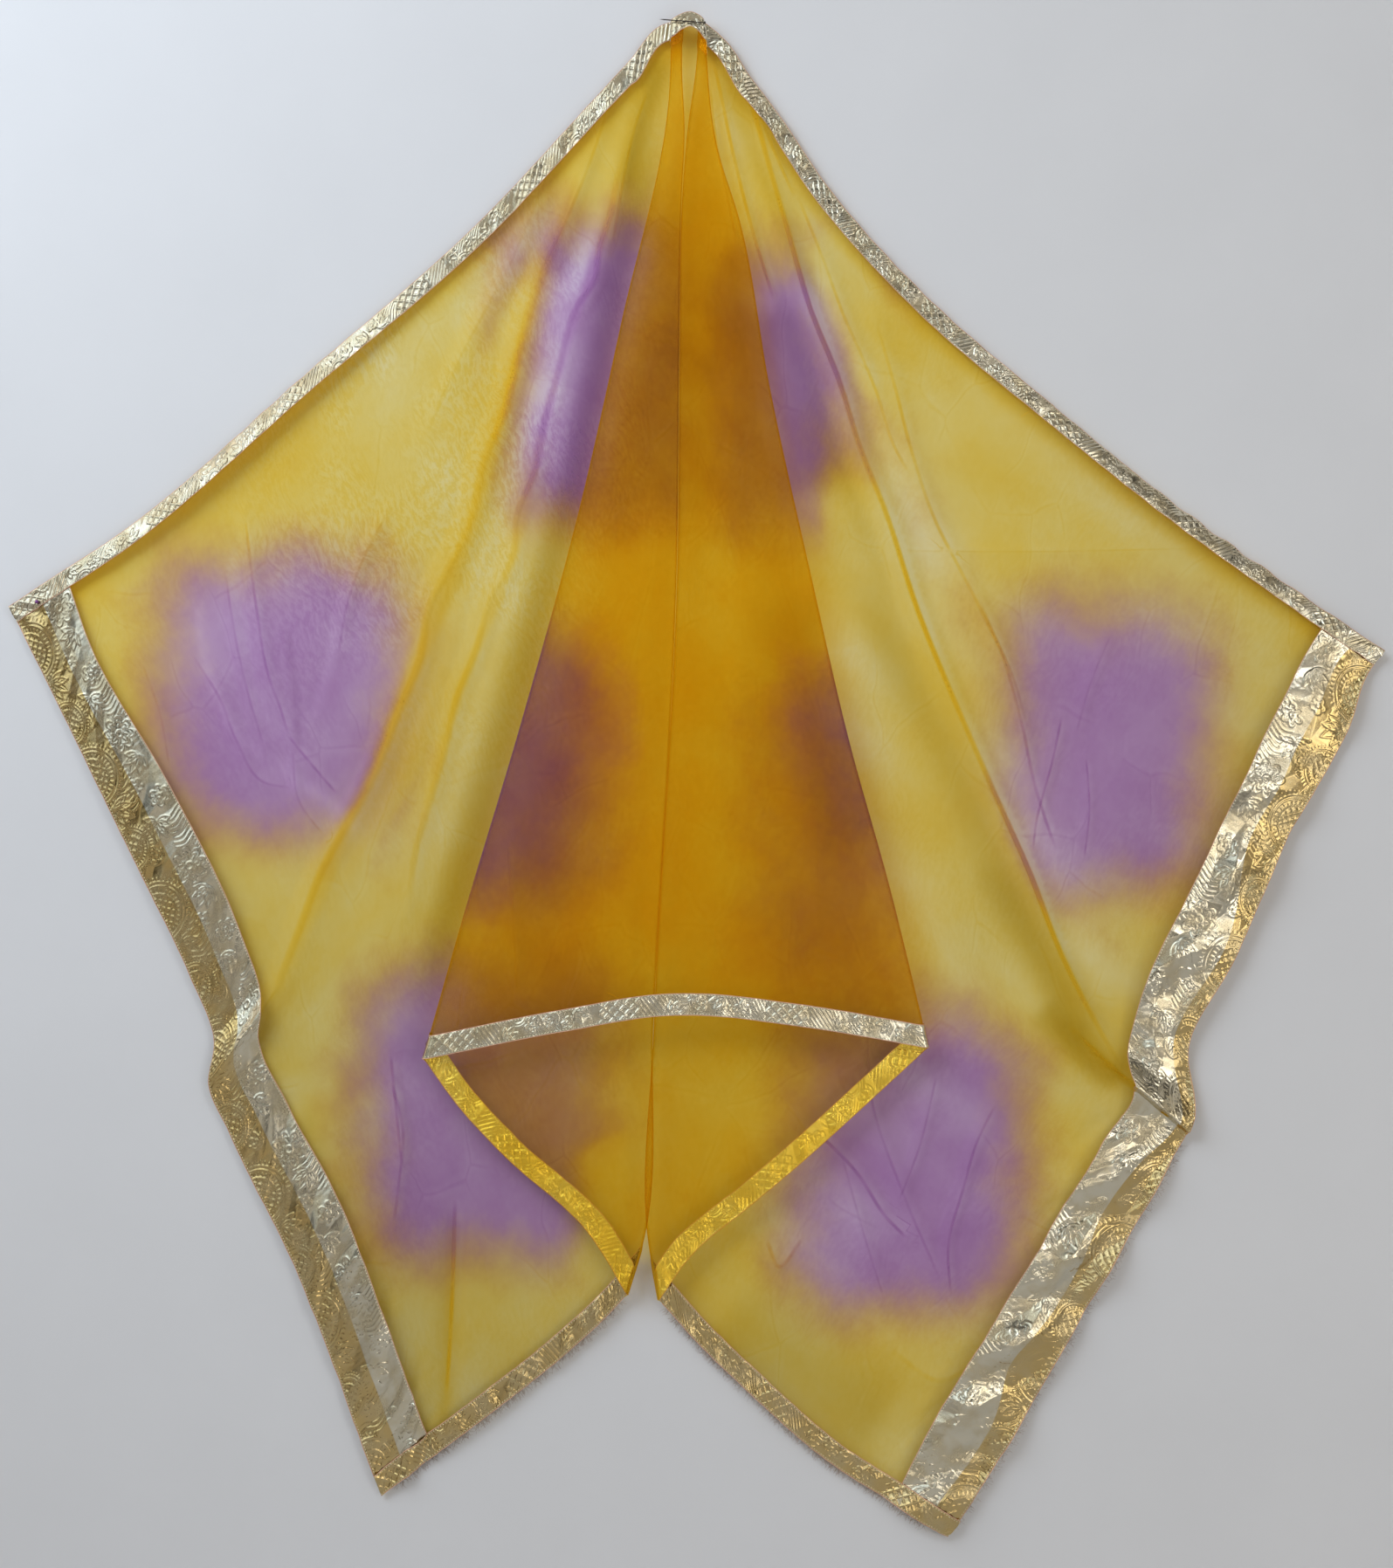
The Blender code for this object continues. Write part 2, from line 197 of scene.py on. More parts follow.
def stage_plane(name, place, turn, colour, one_sided):
    mesh = grid_mesh(name, 1, 1, STAGE_SIZE / 2)
    to_scene(name, mesh, place, turn)
    paint = new_material("Pale " + name)
    n = Nodes(paint)
    mottle = n.noise(n.object_place(), 6.0, 4.0, kind="3D")
    dark, light = [(*[c * share for c in colour], 1) for share in (1 - MOTTLE, 1 + MOTTLE)]
    matt = n.first("BsdfDiffuse", {"Color": n.mix(mottle, dark, light)})
    if one_sided:
        behind = n.add("NewGeometry").outputs["Backfacing"]
        matt = n.first("MixShader", {0: behind, 1: matt, 2: n.first("BsdfTransparent")})
    n.finish(matt)
    mesh.materials.append(paint)


stage_plane("wall", (0, WALL_PLACE, 0), (math.pi / 2, 0, 0), (0.77, 0.77, 0.78), True)
stage_plane("floor", (0, 0, FLOOR_HEIGHT), (0, 0, 0), (0.58, 0.58, 0.59), False)
print("stage:", STAGE_SIZE, "m wide, floor at", FLOOR_HEIGHT, "m")

# %% [markdown]
# ## The light
# Cool soft light falls from the upper left. Foil is a mirror, so it shows whatever stands
# before it: small panels behind the camera give it glints, and broken patches of a bright
# room give it sparks. The three large lamps would burn it out, so it doesn't mirror them.

# %% Lamps
Lamp = namedtuple("Lamp", "name place aim size high power colour")
COOL, WARM, NEUTRAL = (0.95, 0.97, 1.0), (1.0, 0.98, 0.95), (1.0, 0.99, 0.97)
LARGE = 2                # square metres: the foil mirrors no lamp of this size or more
LAMPS = [
    Lamp("key", (-2.3, -2.6, 1.5), (0.0, 0.0, -0.7), 1.8, 1.4, 28, (0.86, 0.91, 1.0)),
    Lamp("near", (-1.6, -1.3, 0.6), (-0.6, 0.0, -0.2), 1.7, 1.3, 25, (0.72, 0.85, 1.0)),
    Lamp("ceiling", (0.2, -1.7, 1.5), (0.2, -1.2, 0.0), 3.0, 1.6, 4, COOL),
    Lamp("right_panel", (2.4, -2.6, -1.2), (0.3, 0.0, -1.1), 0.8, 1.8, 10, (1.0, 0.98, 0.94)),
    Lamp("high_strip", (-1.1, -2.7, 1.6), (-0.3, 0.0, -0.3), 0.9, 0.8, 4.5, (0.94, 0.97, 1.0)),
    Lamp("right_strip", (1.35, -2.6, -0.90), (0.6, 0.0, -1.0), 0.16, 0.6, 2.0, WARM),
    Lamp("upper_right_strip", (1.45, -2.6, 1.25), (0.3, 0.0, -0.3), 0.60, 0.35, 2.2, COOL),
    Lamp("middle_right_strip", (2.05, -2.6, 0.55), (0.5, 0.0, -0.5), 0.60, 0.35, 2.2, COOL),
    Lamp("low_strip", (0.55, -2.3, -1.85), (0.4, 0.0, -1.4), 0.7, 0.22, 1.4, WARM),
    Lamp("front_strip", (0.0, -2.6, -1.42), (0.0, 0.0, -1.15), 1.5, 0.07, 0.9, NEUTRAL),
]
for lamp in LAMPS:
    data = bpy.data.lights.new(lamp.name, "AREA")
    data.shape = "RECTANGLE"
    data.size, data.size_y = lamp.size, lamp.high
    data.energy, data.color = lamp.power, lamp.colour
    turn = (Vector(lamp.aim) - Vector(lamp.place)).to_track_quat("-Z", "Y").to_euler()
    made = to_scene(lamp.name, data, lamp.place, turn)
    made.visible_glossy = lamp.size * lamp.high < LARGE
print("lamps:", [lamp.name for lamp in LAMPS])

# %% World
WINDOW_WAY = (-0.70, 0.05, 0.71)     # toward a broad window
SPARK_WAY = (-0.49, -0.75, 0.45)     # toward what the left top ribbon mirrors
ROOM_COLOUR, SPARK_COLOUR = (1.0, 0.95, 0.87, 1), (0.80, 0.91, 1.0, 1)
BACKDROP = 0.6                       # even brightness that the camera itself sees

world = bpy.data.worlds.new("Soft room")
world.use_nodes = True
sky = world.node_tree.nodes["Background"].inputs
n = Nodes(world)
toward = n.add("TexCoord").outputs["Generated"]
rays = n.add("LightPath").outputs


def glow_along(way, *levels):
    facing = n.add("VectorMath", {0: toward, 1: way}, operation="DOT_PRODUCT")
    return n.step(facing.outputs["Value"], *levels)


def patches(scale, *levels):
    return n.step(n.noise(toward, scale, kind="3D"), *levels)


glow = n.times(glow_along(WINDOW_WAY, 0.55, 0.95), patches(7.0, 0.42, 0.58, 0.25, 1.1))
sparks = n.times(glow_along(SPARK_WAY, 0.86, 0.97, 0.0, 0.80),
                 patches(13.0, 0.47, 0.56, 0.35, 3.0))
# the foil mirrors the sparks, and they light nothing
sparks = n.times(sparks, rays["Is Glossy Ray"])
room = n.plus(n.plus(glow, sparks), patches(3.0, 0.44, 0.58, 0.03, 0.46))
seen = rays["Is Camera Ray"]
n.put(sky["Color"], n.mix(n.step(sparks, 0.0, 0.2), ROOM_COLOUR, SPARK_COLOUR))
n.put(sky["Strength"], n.times(seen, BACKDROP, n.times(room, n.less(1.0, seen))))
bpy.context.scene.world = world
print("world nodes:", len(world.node_tree.nodes))

# %% [markdown]
# ## How the cloth is folded
# Flat, a place on the cloth is (s, t): s runs along the top edge from the left end and t runs
# down from it. Four folds fan out from the gather. Each is a line that is straight on the
# flat cloth and curved on the wall, so each panel between two lines is a patch with four
# smooth sides, and every flat place has one place in the air. A cloth simulation would also
# fold a sheet, but it would not stop at these folds, so the patch is worked out instead.

# %% Sizes of the flat cloth
CLOTH_LENGTH = 2.15
CLOTH_WIDTH = 1.10
NARROW_RIBBON = 0.025
WIDE_RIBBON = 0.076
WALL_CLEARANCE = 0.003   # from the wall to the rearmost layer
TOP_SPACING = 0.0075     # between layers at the gather
LOW_SPACING = 0.012      # between layers at the bottom edge
LEAN_STRIP = 0.030       # strip of each flap that leans back to the wall at its top edge
LEAN_START = 0.12        # the lean fades out this near to the gather
TOP_RIBBON_SHOWS = 0.020
ARCH_SHOWS = 0.017       # of the top ribbon, where it arches over the gather
print("flat cloth:", CLOTH_LENGTH, "x", CLOTH_WIDTH, "m")

# %% Lines of the folds, and panels between them
Line = namedtuple("Line", "top_s low_s places")
Panel = namedtuple("Panel", "left right layer columns top low", defaults=[[], []])


def mm(*numbers):
    """Points (x, z) in metres, from x, z, x, z ... in millimetres."""
    return np.reshape(numbers, (-1, 2)) / 1000


LINES = {
    "left_end": Line(0, 0, mm(-776, -667, -730, -758, -625, -972, -569, -1089, -541, -1170, -547,
        -1212, -523, -1271, -452, -1414, -350, -1685)),
    "left_seam": Line(WIDE_RIBBON, WIDE_RIBBON, mm(-712, -625, -681, -712, -589, -872, -510, -1038,
        -485, -1129, -489, -1159, -457, -1236, -401, -1337, -330, -1520, -290, -1639)),
    "left_back_fold": Line(1.028, 0.376, mm(-5, 5, -6, -50, -3, -125, -6.5, -200, -9.5, -400,
        -11.5, -603, -38.5, -1142, -50, -1392, -68, -1452)),
    "left_front_fold": Line(1.042, 0.731, mm(-18, -1, -21, -87, -75, -345, -121, -552, -188, -802,
        -259, -1039, -300, -1182)),
    "right_front_fold": Line(1.072, 1.309, mm(19, 0, 34, -144, 60, -230, 94, -420, 140, -632, 183,
        -821, 229, -987, 274, -1169)),
    "right_back_fold": Line(1.086, 1.703, mm(14, 5, 10, -50, 0, -125, -5.8, -200, -8.8, -400,
        -10.8, -603, -37.8, -1142, -44.5, -1392, -33, -1458)),
    "right_seam": Line(CLOTH_LENGTH - WIDE_RIBBON, CLOTH_LENGTH - WIDE_RIBBON, mm(734, -676, 714,
        -708, 631, -868, 576, -983, 513, -1126, 503, -1197, 509, -1219, 473, -1281, 375, -1442,
        284, -1591, 234, -1691)),
    "right_end": Line(CLOTH_LENGTH, CLOTH_LENGTH, mm(797, -718, 776, -748, 754, -810, 685, -931,
        622, -1075, 573, -1169, 579, -1247, 545, -1316, 461, -1461, 355, -1643, 298, -1732)),
}

# layer 0 lies on the wall, 1 over it, 2 in front
PANELS = [
    Panel("left_end", "left_seam", 0, 12),
    Panel("left_seam", "left_back_fold", 0, 122,
          top=mm(-661, -592, -431, -397, -236, -225, -110, -90, -64, -40, -33, -4),
          low=mm(-227, -1591, -143, -1525, -89, -1475)),
    Panel("left_back_fold", "left_front_fold", 1, 44,
          low=mm(-111, -1382, -208, -1292, -263, -1233)),
    Panel("left_front_fold", "right_front_fold", 2, 84,
          top=mm(-8, 5, 4, 8, 14, 4),
          low=mm(-137, -1149, -19, -1131, 15, -1131, 116, -1142)),
    Panel("right_front_fold", "right_back_fold", 1, 44, low=mm(158, -1275, 74, -1347, 3, -1408)),
    Panel("right_back_fold", "right_seam", 0, 122,
          top=mm(38, -14, 71, -60, 100, -98, 163, -190, 272, -311, 410, -431, 559, -552),
          low=mm(10, -1507, 66, -1561, 173, -1653)),
    Panel("right_seam", "right_end", 0, 12),
]
print("panels:", len(PANELS))

# %% [markdown]
# ## Smooth lines and patches
# Each line is drawn through its few points as a smooth curve. A patch blends its four sides:
# the two curves across and the two curves down, less the flat patch of its four corners.

# %% Smooth lines and patches
def ease(value):
    """0 below 0, 1 above 1, and a smooth step between."""
    value = np.clip(value, 0, 1)
    return value * value * (3 - 2 * value)


def along(places, fraction):
    """Points at fractions (0 to 1) of the length of a smooth line through places."""
    places = np.array(places, dtype=float)
    legs = np.linalg.norm(np.diff(places, axis=0), axis=1)
    reach = np.concatenate([[0.0], np.cumsum(legs)]) / legs.sum()
    slope = np.gradient(places, reach, axis=0)
    fraction = np.asarray(fraction, dtype=float)
    span = np.clip(np.searchsorted(reach, fraction, side="right") - 1, 0, len(legs) - 1)
    run = (reach[span + 1] - reach[span])[..., None]
    f = (fraction - reach[span])[..., None] / run
    ends = (1 + 2 * f) * (1 - f) ** 2 * places[span] + f * f * (3 - 2 * f) * places[span + 1]
    return ends + run * (f * (1 - f) ** 2 * slope[span] - f * f * (1 - f) * slope[span + 1])


def patch_point(panel, across, down):
    """(x, z) in a panel's outline: across and down run from 0 to 1."""
    left, right = LINES[panel.left].places, LINES[panel.right].places
    top = along([left[0], *panel.top, right[0]], across)
    low = along([left[-1], *panel.low, right[-1]], across)
    a, d = across[..., None], down[..., None]
    sides = (1 - a) * along(left, down) + a * along(right, down)
    corners = ((1 - d) * ((1 - a) * left[0] + a * right[0])
               + d * ((1 - a) * left[-1] + a * right[-1]))
    return (1 - d) * top + d * low + sides - corners


def depth_of_patch(panel, across, down, inward):
    """Metres per unit of the patch, square to the cloth's edge; inward is 1 or -1."""
    step = 1e-4
    here = patch_point(panel, across, down)
    edge = patch_point(panel, across + step, down) - here
    inside = patch_point(panel, across, down + step * inward) - here
    crossed = edge[..., 0] * inside[..., 1] - edge[..., 1] * inside[..., 0]
    return np.abs(crossed) / np.linalg.norm(edge, axis=-1) / step


print("middle of the front panel:",
      patch_point(PANELS[3], np.array([0.5]), np.array([0.5])).round(3).tolist())

# %% [markdown]
# ## From flat cloth to hanging cloth
# A fold isn't a knife edge. It is half a turn of the same sheet, as wide as the space between
# two layers, so near a fold the surface follows a quarter circle on each panel. Away from the
# folds, the ribbon's strip keeps its width and the rest of the panel shares what is left.

# %% Folds that turn round
def flat_s(line_name, t):
    """Where a line of the folds runs on the flat cloth."""
    line = LINES[line_name]
    return line.top_s + (line.low_s - line.top_s) * t / CLOTH_WIDTH


def is_fold(line_name):
    return line_name.endswith("_fold")


def spacing(t):
    """From one layer to the next."""
    return TOP_SPACING + (LOW_SPACING - TOP_SPACING) * t / CLOTH_WIDTH


def round_fold(distance, radius):
    """Width seen from the front, and how far the quarter turn is done (0 to 1)."""
    angle = np.clip(distance / radius, 0, math.pi / 2)
    straight = np.clip(distance - radius * math.pi / 2, 0, None)
    return radius * (1 - np.cos(angle)) + straight, np.sin(angle)


def across_share(panel, s, t):
    """The patch's across value, and how far each side's turn is done."""
    to_sides = s - flat_s(panel.left, t), flat_s(panel.right, t) - s
    radius = spacing(t) / 2
    full = sum(to_sides)
    seen, turns = [], []
    for side, distance in zip((panel.left, panel.right), to_sides):
        width, turn = distance, np.ones_like(s)
        if is_fold(side):
            width, turn = round_fold(distance, radius)
            full = full - radius * (math.pi / 2 - 1)
        seen.append(width)
        turns.append(turn)
    share = np.where(to_sides[0] < to_sides[1], seen[0], full - seen[1]) / full
    return share, *turns


def down_share(panel, across, t):
    """The patch's down value, which keeps each narrow ribbon's width."""
    shows = {0: TOP_RIBBON_SHOWS, 1: NARROW_RIBBON, 2: ARCH_SHOWS}[panel.layer]
    top = shows / depth_of_patch(panel, across, np.zeros_like(t), 1)
    low = NARROW_RIBBON / depth_of_patch(panel, across, np.ones_like(t), -1)
    from_low = CLOTH_WIDTH - t
    middle = (t - NARROW_RIBBON) / (CLOTH_WIDTH - 2 * NARROW_RIBBON)
    share = top + (1 - low - top) * middle
    share = np.where(t < NARROW_RIBBON, top * t / NARROW_RIBBON, share)
    return np.where(from_low < NARROW_RIBBON, 1 - low * from_low / NARROW_RIBBON, share)


def fold_layers(panel):
    """The height, in layers, of the outermost line of the folds on a panel's sides."""
    place = PANELS.index(panel)
    before = PANELS[place - 1].layer if place > 0 else panel.layer
    after = PANELS[place + 1].layer if place + 1 < len(PANELS) else panel.layer
    return (panel.layer + before) / 2, (panel.layer + after) / 2


print("between layers:", spacing(0), "m at the gather,", spacing(CLOTH_WIDTH), "m below")

# %% [markdown]
# ## Bellies, ridges and pinches
# Hanging organza is never flat. Broad bellies lift all the layers together, and long soft
# ridges run from the gather to the ends. On them sit sharp pinch lines, where the stiff yarn
# has kinked and the cloth lies double for a few millimetres, so it looks darker there. A
# ridge moves the mesh. A pinch also leaves its distance from each vertex as an attribute, so
# that the material can draw it thinner than a face of the mesh.

# %% Bellies and broad ridges
Swell = namedtuple("Swell", "x z wide high rise")
Fold = namedtuple("Fold", "layer places width rise thin depth group lap")

SWELLS = [
    Swell(x=-0.42, z=-0.72, wide=0.34, high=0.52, rise=0.020),
    Swell(x=0.45, z=-0.80, wide=0.36, high=0.52, rise=0.022),
    Swell(x=-0.02, z=-0.95, wide=0.42, high=0.75, rise=0.014),
    Swell(x=-0.33, z=-1.42, wide=0.22, high=0.26, rise=0.010),
    Swell(x=0.25, z=-1.45, wide=0.26, high=0.28, rise=0.012),
]


def fold(width, rise, thin, depth, group, *route, layer=0, lap=False):
    """A ridge (rise > 0) or trough (rise < 0) along a route, all lengths in millimetres.

    thin and depth describe the pinch line on it. A lap is a ridge whose far side drops
    sharply, because one part lies over the other. Pinches that cross are in other groups.
    """
    return Fold(layer, mm(*route), width / 1000, rise / 1000, thin / 1000, depth, group, lap)


FOLDS = [
    # the long double ridge of the left flap
    fold(24, 12, 5.2, 0.85, 0, -121, -154, -133, -206, -151, -255, -179, -326, -196, -392, -210,
        -452, -231, -501, -245, -572, -272, -629, -293, -672, -301, -725, -326, -786, -356, -863,
        -385, -914, -414, -966, -443, -1040, -466, -1098, -486, -1155),
    # its broken neighbour
    fold(20, 8, 4.2, 0.8, 1, -59, -122, -80, -175, -87, -217, -101, -258, -106, -297, -124, -320,
        -147, -399, -161, -450, -175, -518, -193, -560, -200, -620, -219, -650, -242, -725, -261,
        -771, -274, -828, -291, -886, -310, -951, -318, -1020),
    # the thin sharp ridge of the right flap
    fold(24, 12, 3.2, 2.4, 0, 48, -29, 71, -87, 94, -167, 117, -248, 140, -328, 174, -414, 197,
        -489, 226, -563, 262, -676, 295, -759, 341, -866, 386, -966, 428, -1070, 473, -1157, 500,
        -1205),
    fold(18, 5, 2, 0.7, 1, 123, -190, 157, -276, 180, -339, 198, -379, 215, -420, 238, -489, 255,
        -520),
    fold(20, 6, 2.2, 0.9, 2, 215, -339, 238, -420, 255, -489, 284, -575, 307, -621, 336, -680, 370,
        -754, 386, -812),
    fold(40, -8, 2, 0, 2, 195, -605, 245, -738, 303, -842, 357, -966, 411, -1061, 469, -1194),
    # the pinch where the right end is folded over itself
    fold(34, 17, 2, 0.5, 2, 440, -1150, 490, -1197, 538, -1237, 590, -1283, lap=True),
    fold(26, 9, 2, 0.4, 1, -465, -1100, -485, -1129, -517, -1172, -552, -1222),
    # lower left flap: a crease that runs down into the ribbon
    fold(22, -4, 2.6, 1.6, 0, -265, -1345, -268, -1442, -272, -1520, -276, -1574),
    fold(14, 3, 2, 0.8, 1, -339, -1178, -332, -1240, -325, -1304),
    # wrinkles that meet in the left lilac square
    fold(16, 6, 1.8, 0.7, 2, -503, -560, -497, -608, -488, -673, -474, -749, -460, -788, -452,
        -816),
    fold(14, 5, 1.8, 0.5, 0, -564, -721, -530, -774, -511, -822, -483, -867, -446, -875),
    fold(12, 5, 1.6, 0.45, 1, -525, -629, -515, -690, -500, -760, -480, -830),
    fold(12, 4, 1.8, 0.7, 2, -452, -816, -424, -850, -398, -881),
    fold(12, 4, 1.6, 0.35, 0, -448, -830, -440, -890, -412, -930),
    fold(16, 5, 1.8, 0.45, 1, -340, -560, -365, -610, -385, -665, -395, -720),
    fold(14, 4, 1.6, 0.35, 2, -620, -735, -600, -790, -590, -850),
    # short wrinkles of the right lilac square
    fold(12, 5, 1.6, 0.9, 1, 425, -790, 412, -850, 396, -910, 392, -945),
    fold(10, 4, 1.4, 0.7, 2, 452, -840, 455, -900, 450, -955),
    fold(14, 5, 2, 0.8, 0, 330, -660, 360, -735, 378, -800, 396, -880, 420, -950),
    fold(14, 4, 1.4, 0.3, 0, 480, -700, 455, -760, 440, -815),
    # lines that fan out from the gather
    fold(8, 3, 2.2, 1.4, 2, 30, -45, 39, -85, 48, -130, 62, -190, 78, -250, 100, -320),
    fold(6, 2, 1.6, 0.9, 1, 26, -70, 32, -130, 44, -190, 56, -250),
    fold(8, 3, 2, 0.8, 1, 75, -85, 90, -125, 110, -172, 123, -200),
    fold(12, 4, 2, 0.6, 2, -90, -95, -115, -170, -140, -230, -175, -300),
    fold(10, 4, 2, 0.8, 2, -45, -75, -60, -120, -73, -180, -85, -250),
    fold(22, 4, 2, 0.25, 1, -150, -150, -200, -270, -262, -390, -300, -480),
    # soft creases of the middle panel
    fold(30, 2, 3, 0.14, 1, 55, -297, 49, -473, 39, -648, layer=2),
    fold(16, 3, 1.8, 0.45, 0, -203, -932, -196, -1031, -192, -1108, layer=2),
    fold(24, 3, 2, 0.12, 2, -30, -820, -28, -960, -36, -1080, layer=2),
    fold(24, 3, 2, 0.12, 0, 120, -750, 142, -900, 150, -1050, layer=2),
    fold(16, 6, 2.2, 1.1, 0, 145, -1264, 191, -1310, 228, -1365, 251, -1388),
    fold(14, 5, 1.8, 0.9, 1, 352, -1236, 329, -1282, 315, -1328, 297, -1392, 300, -1457),
    fold(8, 2, 2.4, 0.8, 2, 90, -1388, 104, -1420, 131, -1388),
    fold(20, 4, 3.4, 0.35, 0, 228, -1512, 292, -1549, 329, -1530),
    fold(14, 4, 2, 0.7, 2, -338, -1208, -324, -1264, -329, -1328, -334, -1370),
    # creases from the packet
    fold(8, 1.5, 1.3, 0.28, 2, 226, -604, 400, -606, 582, -602),
    fold(8, 1, 1.3, 0.12, 0, -110, -577, 20, -579, 125, -575, layer=2),
    # the lower right flap
    fold(22, 5, 1.8, 0.5, 0, 205, -1150, 210, -1230, 243, -1330, 290, -1440),
    fold(16, 4, 1.6, 0.5, 1, 285, -1200, 262, -1290, 240, -1345),
    fold(18, 4, 1.6, 0.35, 2, 175, -1290, 200, -1380, 225, -1460),
]
GROUPS = 3
print("ridges and pinches:", len(FOLDS))

# %% [markdown]
# ## How a line lifts the cloth
# Each vertex finds its distance from a ridge's line. A cosine of that distance makes the soft
# ridge, and a sharper crest is added where the ridge also carries a pinch.

# %% Rise of folds and bellies
LAP_DROP = 0.0015        # the far side of a lap falls away over this distance
CREST = 0.25             # share of a ridge that is its sharp crest
CREST_WIDTH = 0.2        # the crest's width, as a share of the ridge's


def beside(x, z, places, samples=48):
    """Signed distance from a smooth line, and the fraction of its length passed."""
    route = along(places, np.linspace(0, 1, samples + 1))
    start, leg = route[:-1], np.diff(route, axis=0)
    gap = np.stack([x, z], -1)[:, None] - start
    share = np.clip((gap * leg).sum(-1) / (leg * leg).sum(-1), 0, 1)
    gap = gap - share[..., None] * leg
    away = np.linalg.norm(gap, axis=-1)
    nearest = away.argmin(1)
    row = np.arange(len(x))
    off = gap[row, nearest]
    side = np.sign(leg[nearest, 0] * off[:, 1] - leg[nearest, 1] * off[:, 0])
    return side * away[row, nearest], (nearest + share[row, nearest]) / samples


def near_each(rows, x, z, layer, margin=None):
    """Each row of a table with the points near its line, their distance and their share."""
    for row in rows:
        reach = margin or row.width
        low, high = np.min(row.places, axis=0) - reach, np.max(row.places, axis=0) + reach
        here = np.nonzero((x > low[0]) & (x < high[0]) & (z > low[1]) & (z < high[1])
                          & (layer == row.layer))[0]
        if here.size:
            yield row, here, *beside(x[here], z[here], row.places)


def fade(passed, share):
    """1 along the middle of a line, and 0 at its two ends."""
    return ease(passed / share) * ease((1 - passed) / share)


def folds_rise(layer, x, z):
    """How far one layer's ridges and troughs lift it."""
    rise = np.zeros_like(x)
    for fold, here, away, passed in near_each(FOLDS, x, z, np.full(x.shape, layer)):
        side = 0.5 + 0.5 * np.cos(math.pi * np.clip(np.abs(away) / fold.width, 0, 1))
        crest = np.exp(-np.abs(away) / (CREST_WIDTH * fold.width)) * (fold.depth > 0)
        if fold.lap:
            side = side * np.where(away > 0, 1.0, np.exp(away / LAP_DROP))
        taper = np.sin(math.pi * np.clip(passed, 0.06, 0.94)) ** 0.7
        rise[here] += fold.rise * ((1 - CREST) * side + CREST * side * crest) * taper
    return rise


def swell_rise(x, z):
    """How far the shared bellies lift the cloth off the wall."""
    rise = np.zeros_like(x)
    for swell in SWELLS:
        reach = ((x - swell.x) / swell.wide) ** 2 + ((z - swell.z) / swell.high) ** 2
        rise += swell.rise * np.clip(1 - reach, 0, None) ** 2
    return rise


centre = LINES["left_seam"].places[3:4] + (0.10, 0.10)
print("belly of the left flap:", swell_rise(*centre.T).round(4), "m")

# %% [markdown]
# ## Waves and crumples
# Between its folds the organza ripples gently, and the foil ribbons are stiffer: they buckle
# into flat facets with sharp edges, most of all on the right end and in the two top corners.
# Both come from sums of sine waves with fixed directions, so each run gives the same cloth.

# %% Waves
RIPPLE = 0.0009          # height of the organza's own waves


def waves(x, y, length, count, seed, sharp=False):
    """A sum of waves between about -1 and 1; sharp ones are zigzags, which give flat facets."""
    draw = np.random.default_rng(seed)
    total = np.zeros_like(x)
    for _ in range(count):
        turn, phase = draw.uniform(0, math.tau, 2)
        size = length * draw.uniform(0.6, 1.6)
        wave = np.sin((x * math.cos(turn) + y * math.sin(turn)) * math.tau / size + phase)
        total += 1 - 4 / math.pi * np.abs(np.arcsin(wave)) if sharp else wave
    return total / count ** 0.5


ripple = waves(np.array([0.5]), np.array([0.5]), 0.13, count=6, seed=3)
print("ripple:", ripple.round(3), "x", RIPPLE, "m")


# %% Crumples of the wide ribbons
LEFT_BUCKLE = 0.0009
RIGHT_BUCKLE = 0.0050
BEND = 0.016             # how far the edges of the facets stray from straight
BUCKLE_FADE = 0.03       # from a wide ribbon into the cloth
CORNER_PLEAT = 0.0016    # height of the small pleats round each top corner
CORNER_REACH = 0.085


def crumple_rise(s, t):
    """Buckles of the wide ribbons, which the cloth under them shares."""
    from_right = CLOTH_LENGTH - s
    left, right = [ease(1 - (away - WIDE_RIBBON) / BUCKLE_FADE) for away in (s, from_right)]
    low_left, low_right = 1 + ease((t - 0.6) / 0.3), 0.55 + 0.45 * ease((t - 0.25) / 0.5)
    bent = BEND * waves(from_right, t, 0.12, count=4, seed=7)
    facets = waves(from_right * 1.1 + bent, t, 0.19, count=4, seed=5, sharp=True)
    facets = facets + 0.18 * waves(from_right, t + bent, 0.080, count=4, seed=9, sharp=True)
    rise = left * low_left * LEFT_BUCKLE * waves(s, t + bent, 0.085, count=5, seed=11, sharp=True)
    rise = rise + right * low_right * RIGHT_BUCKLE * (facets + 0.55)
    for corner_s, seed in ((0.0, 21), (CLOTH_LENGTH, 22)):
        reach = np.hypot(s - corner_s, t)
        turn = np.arctan2(t + 0.004, np.abs(s - corner_s) + 0.004)
        pleats = np.sin(turn * 11 + seed) * np.clip(reach / 0.03, 0, 1)
        rise = rise + CORNER_PLEAT * pleats * ease(1 - reach / CORNER_REACH)
    return rise


print("corner pleats reach", CORNER_REACH, "m")


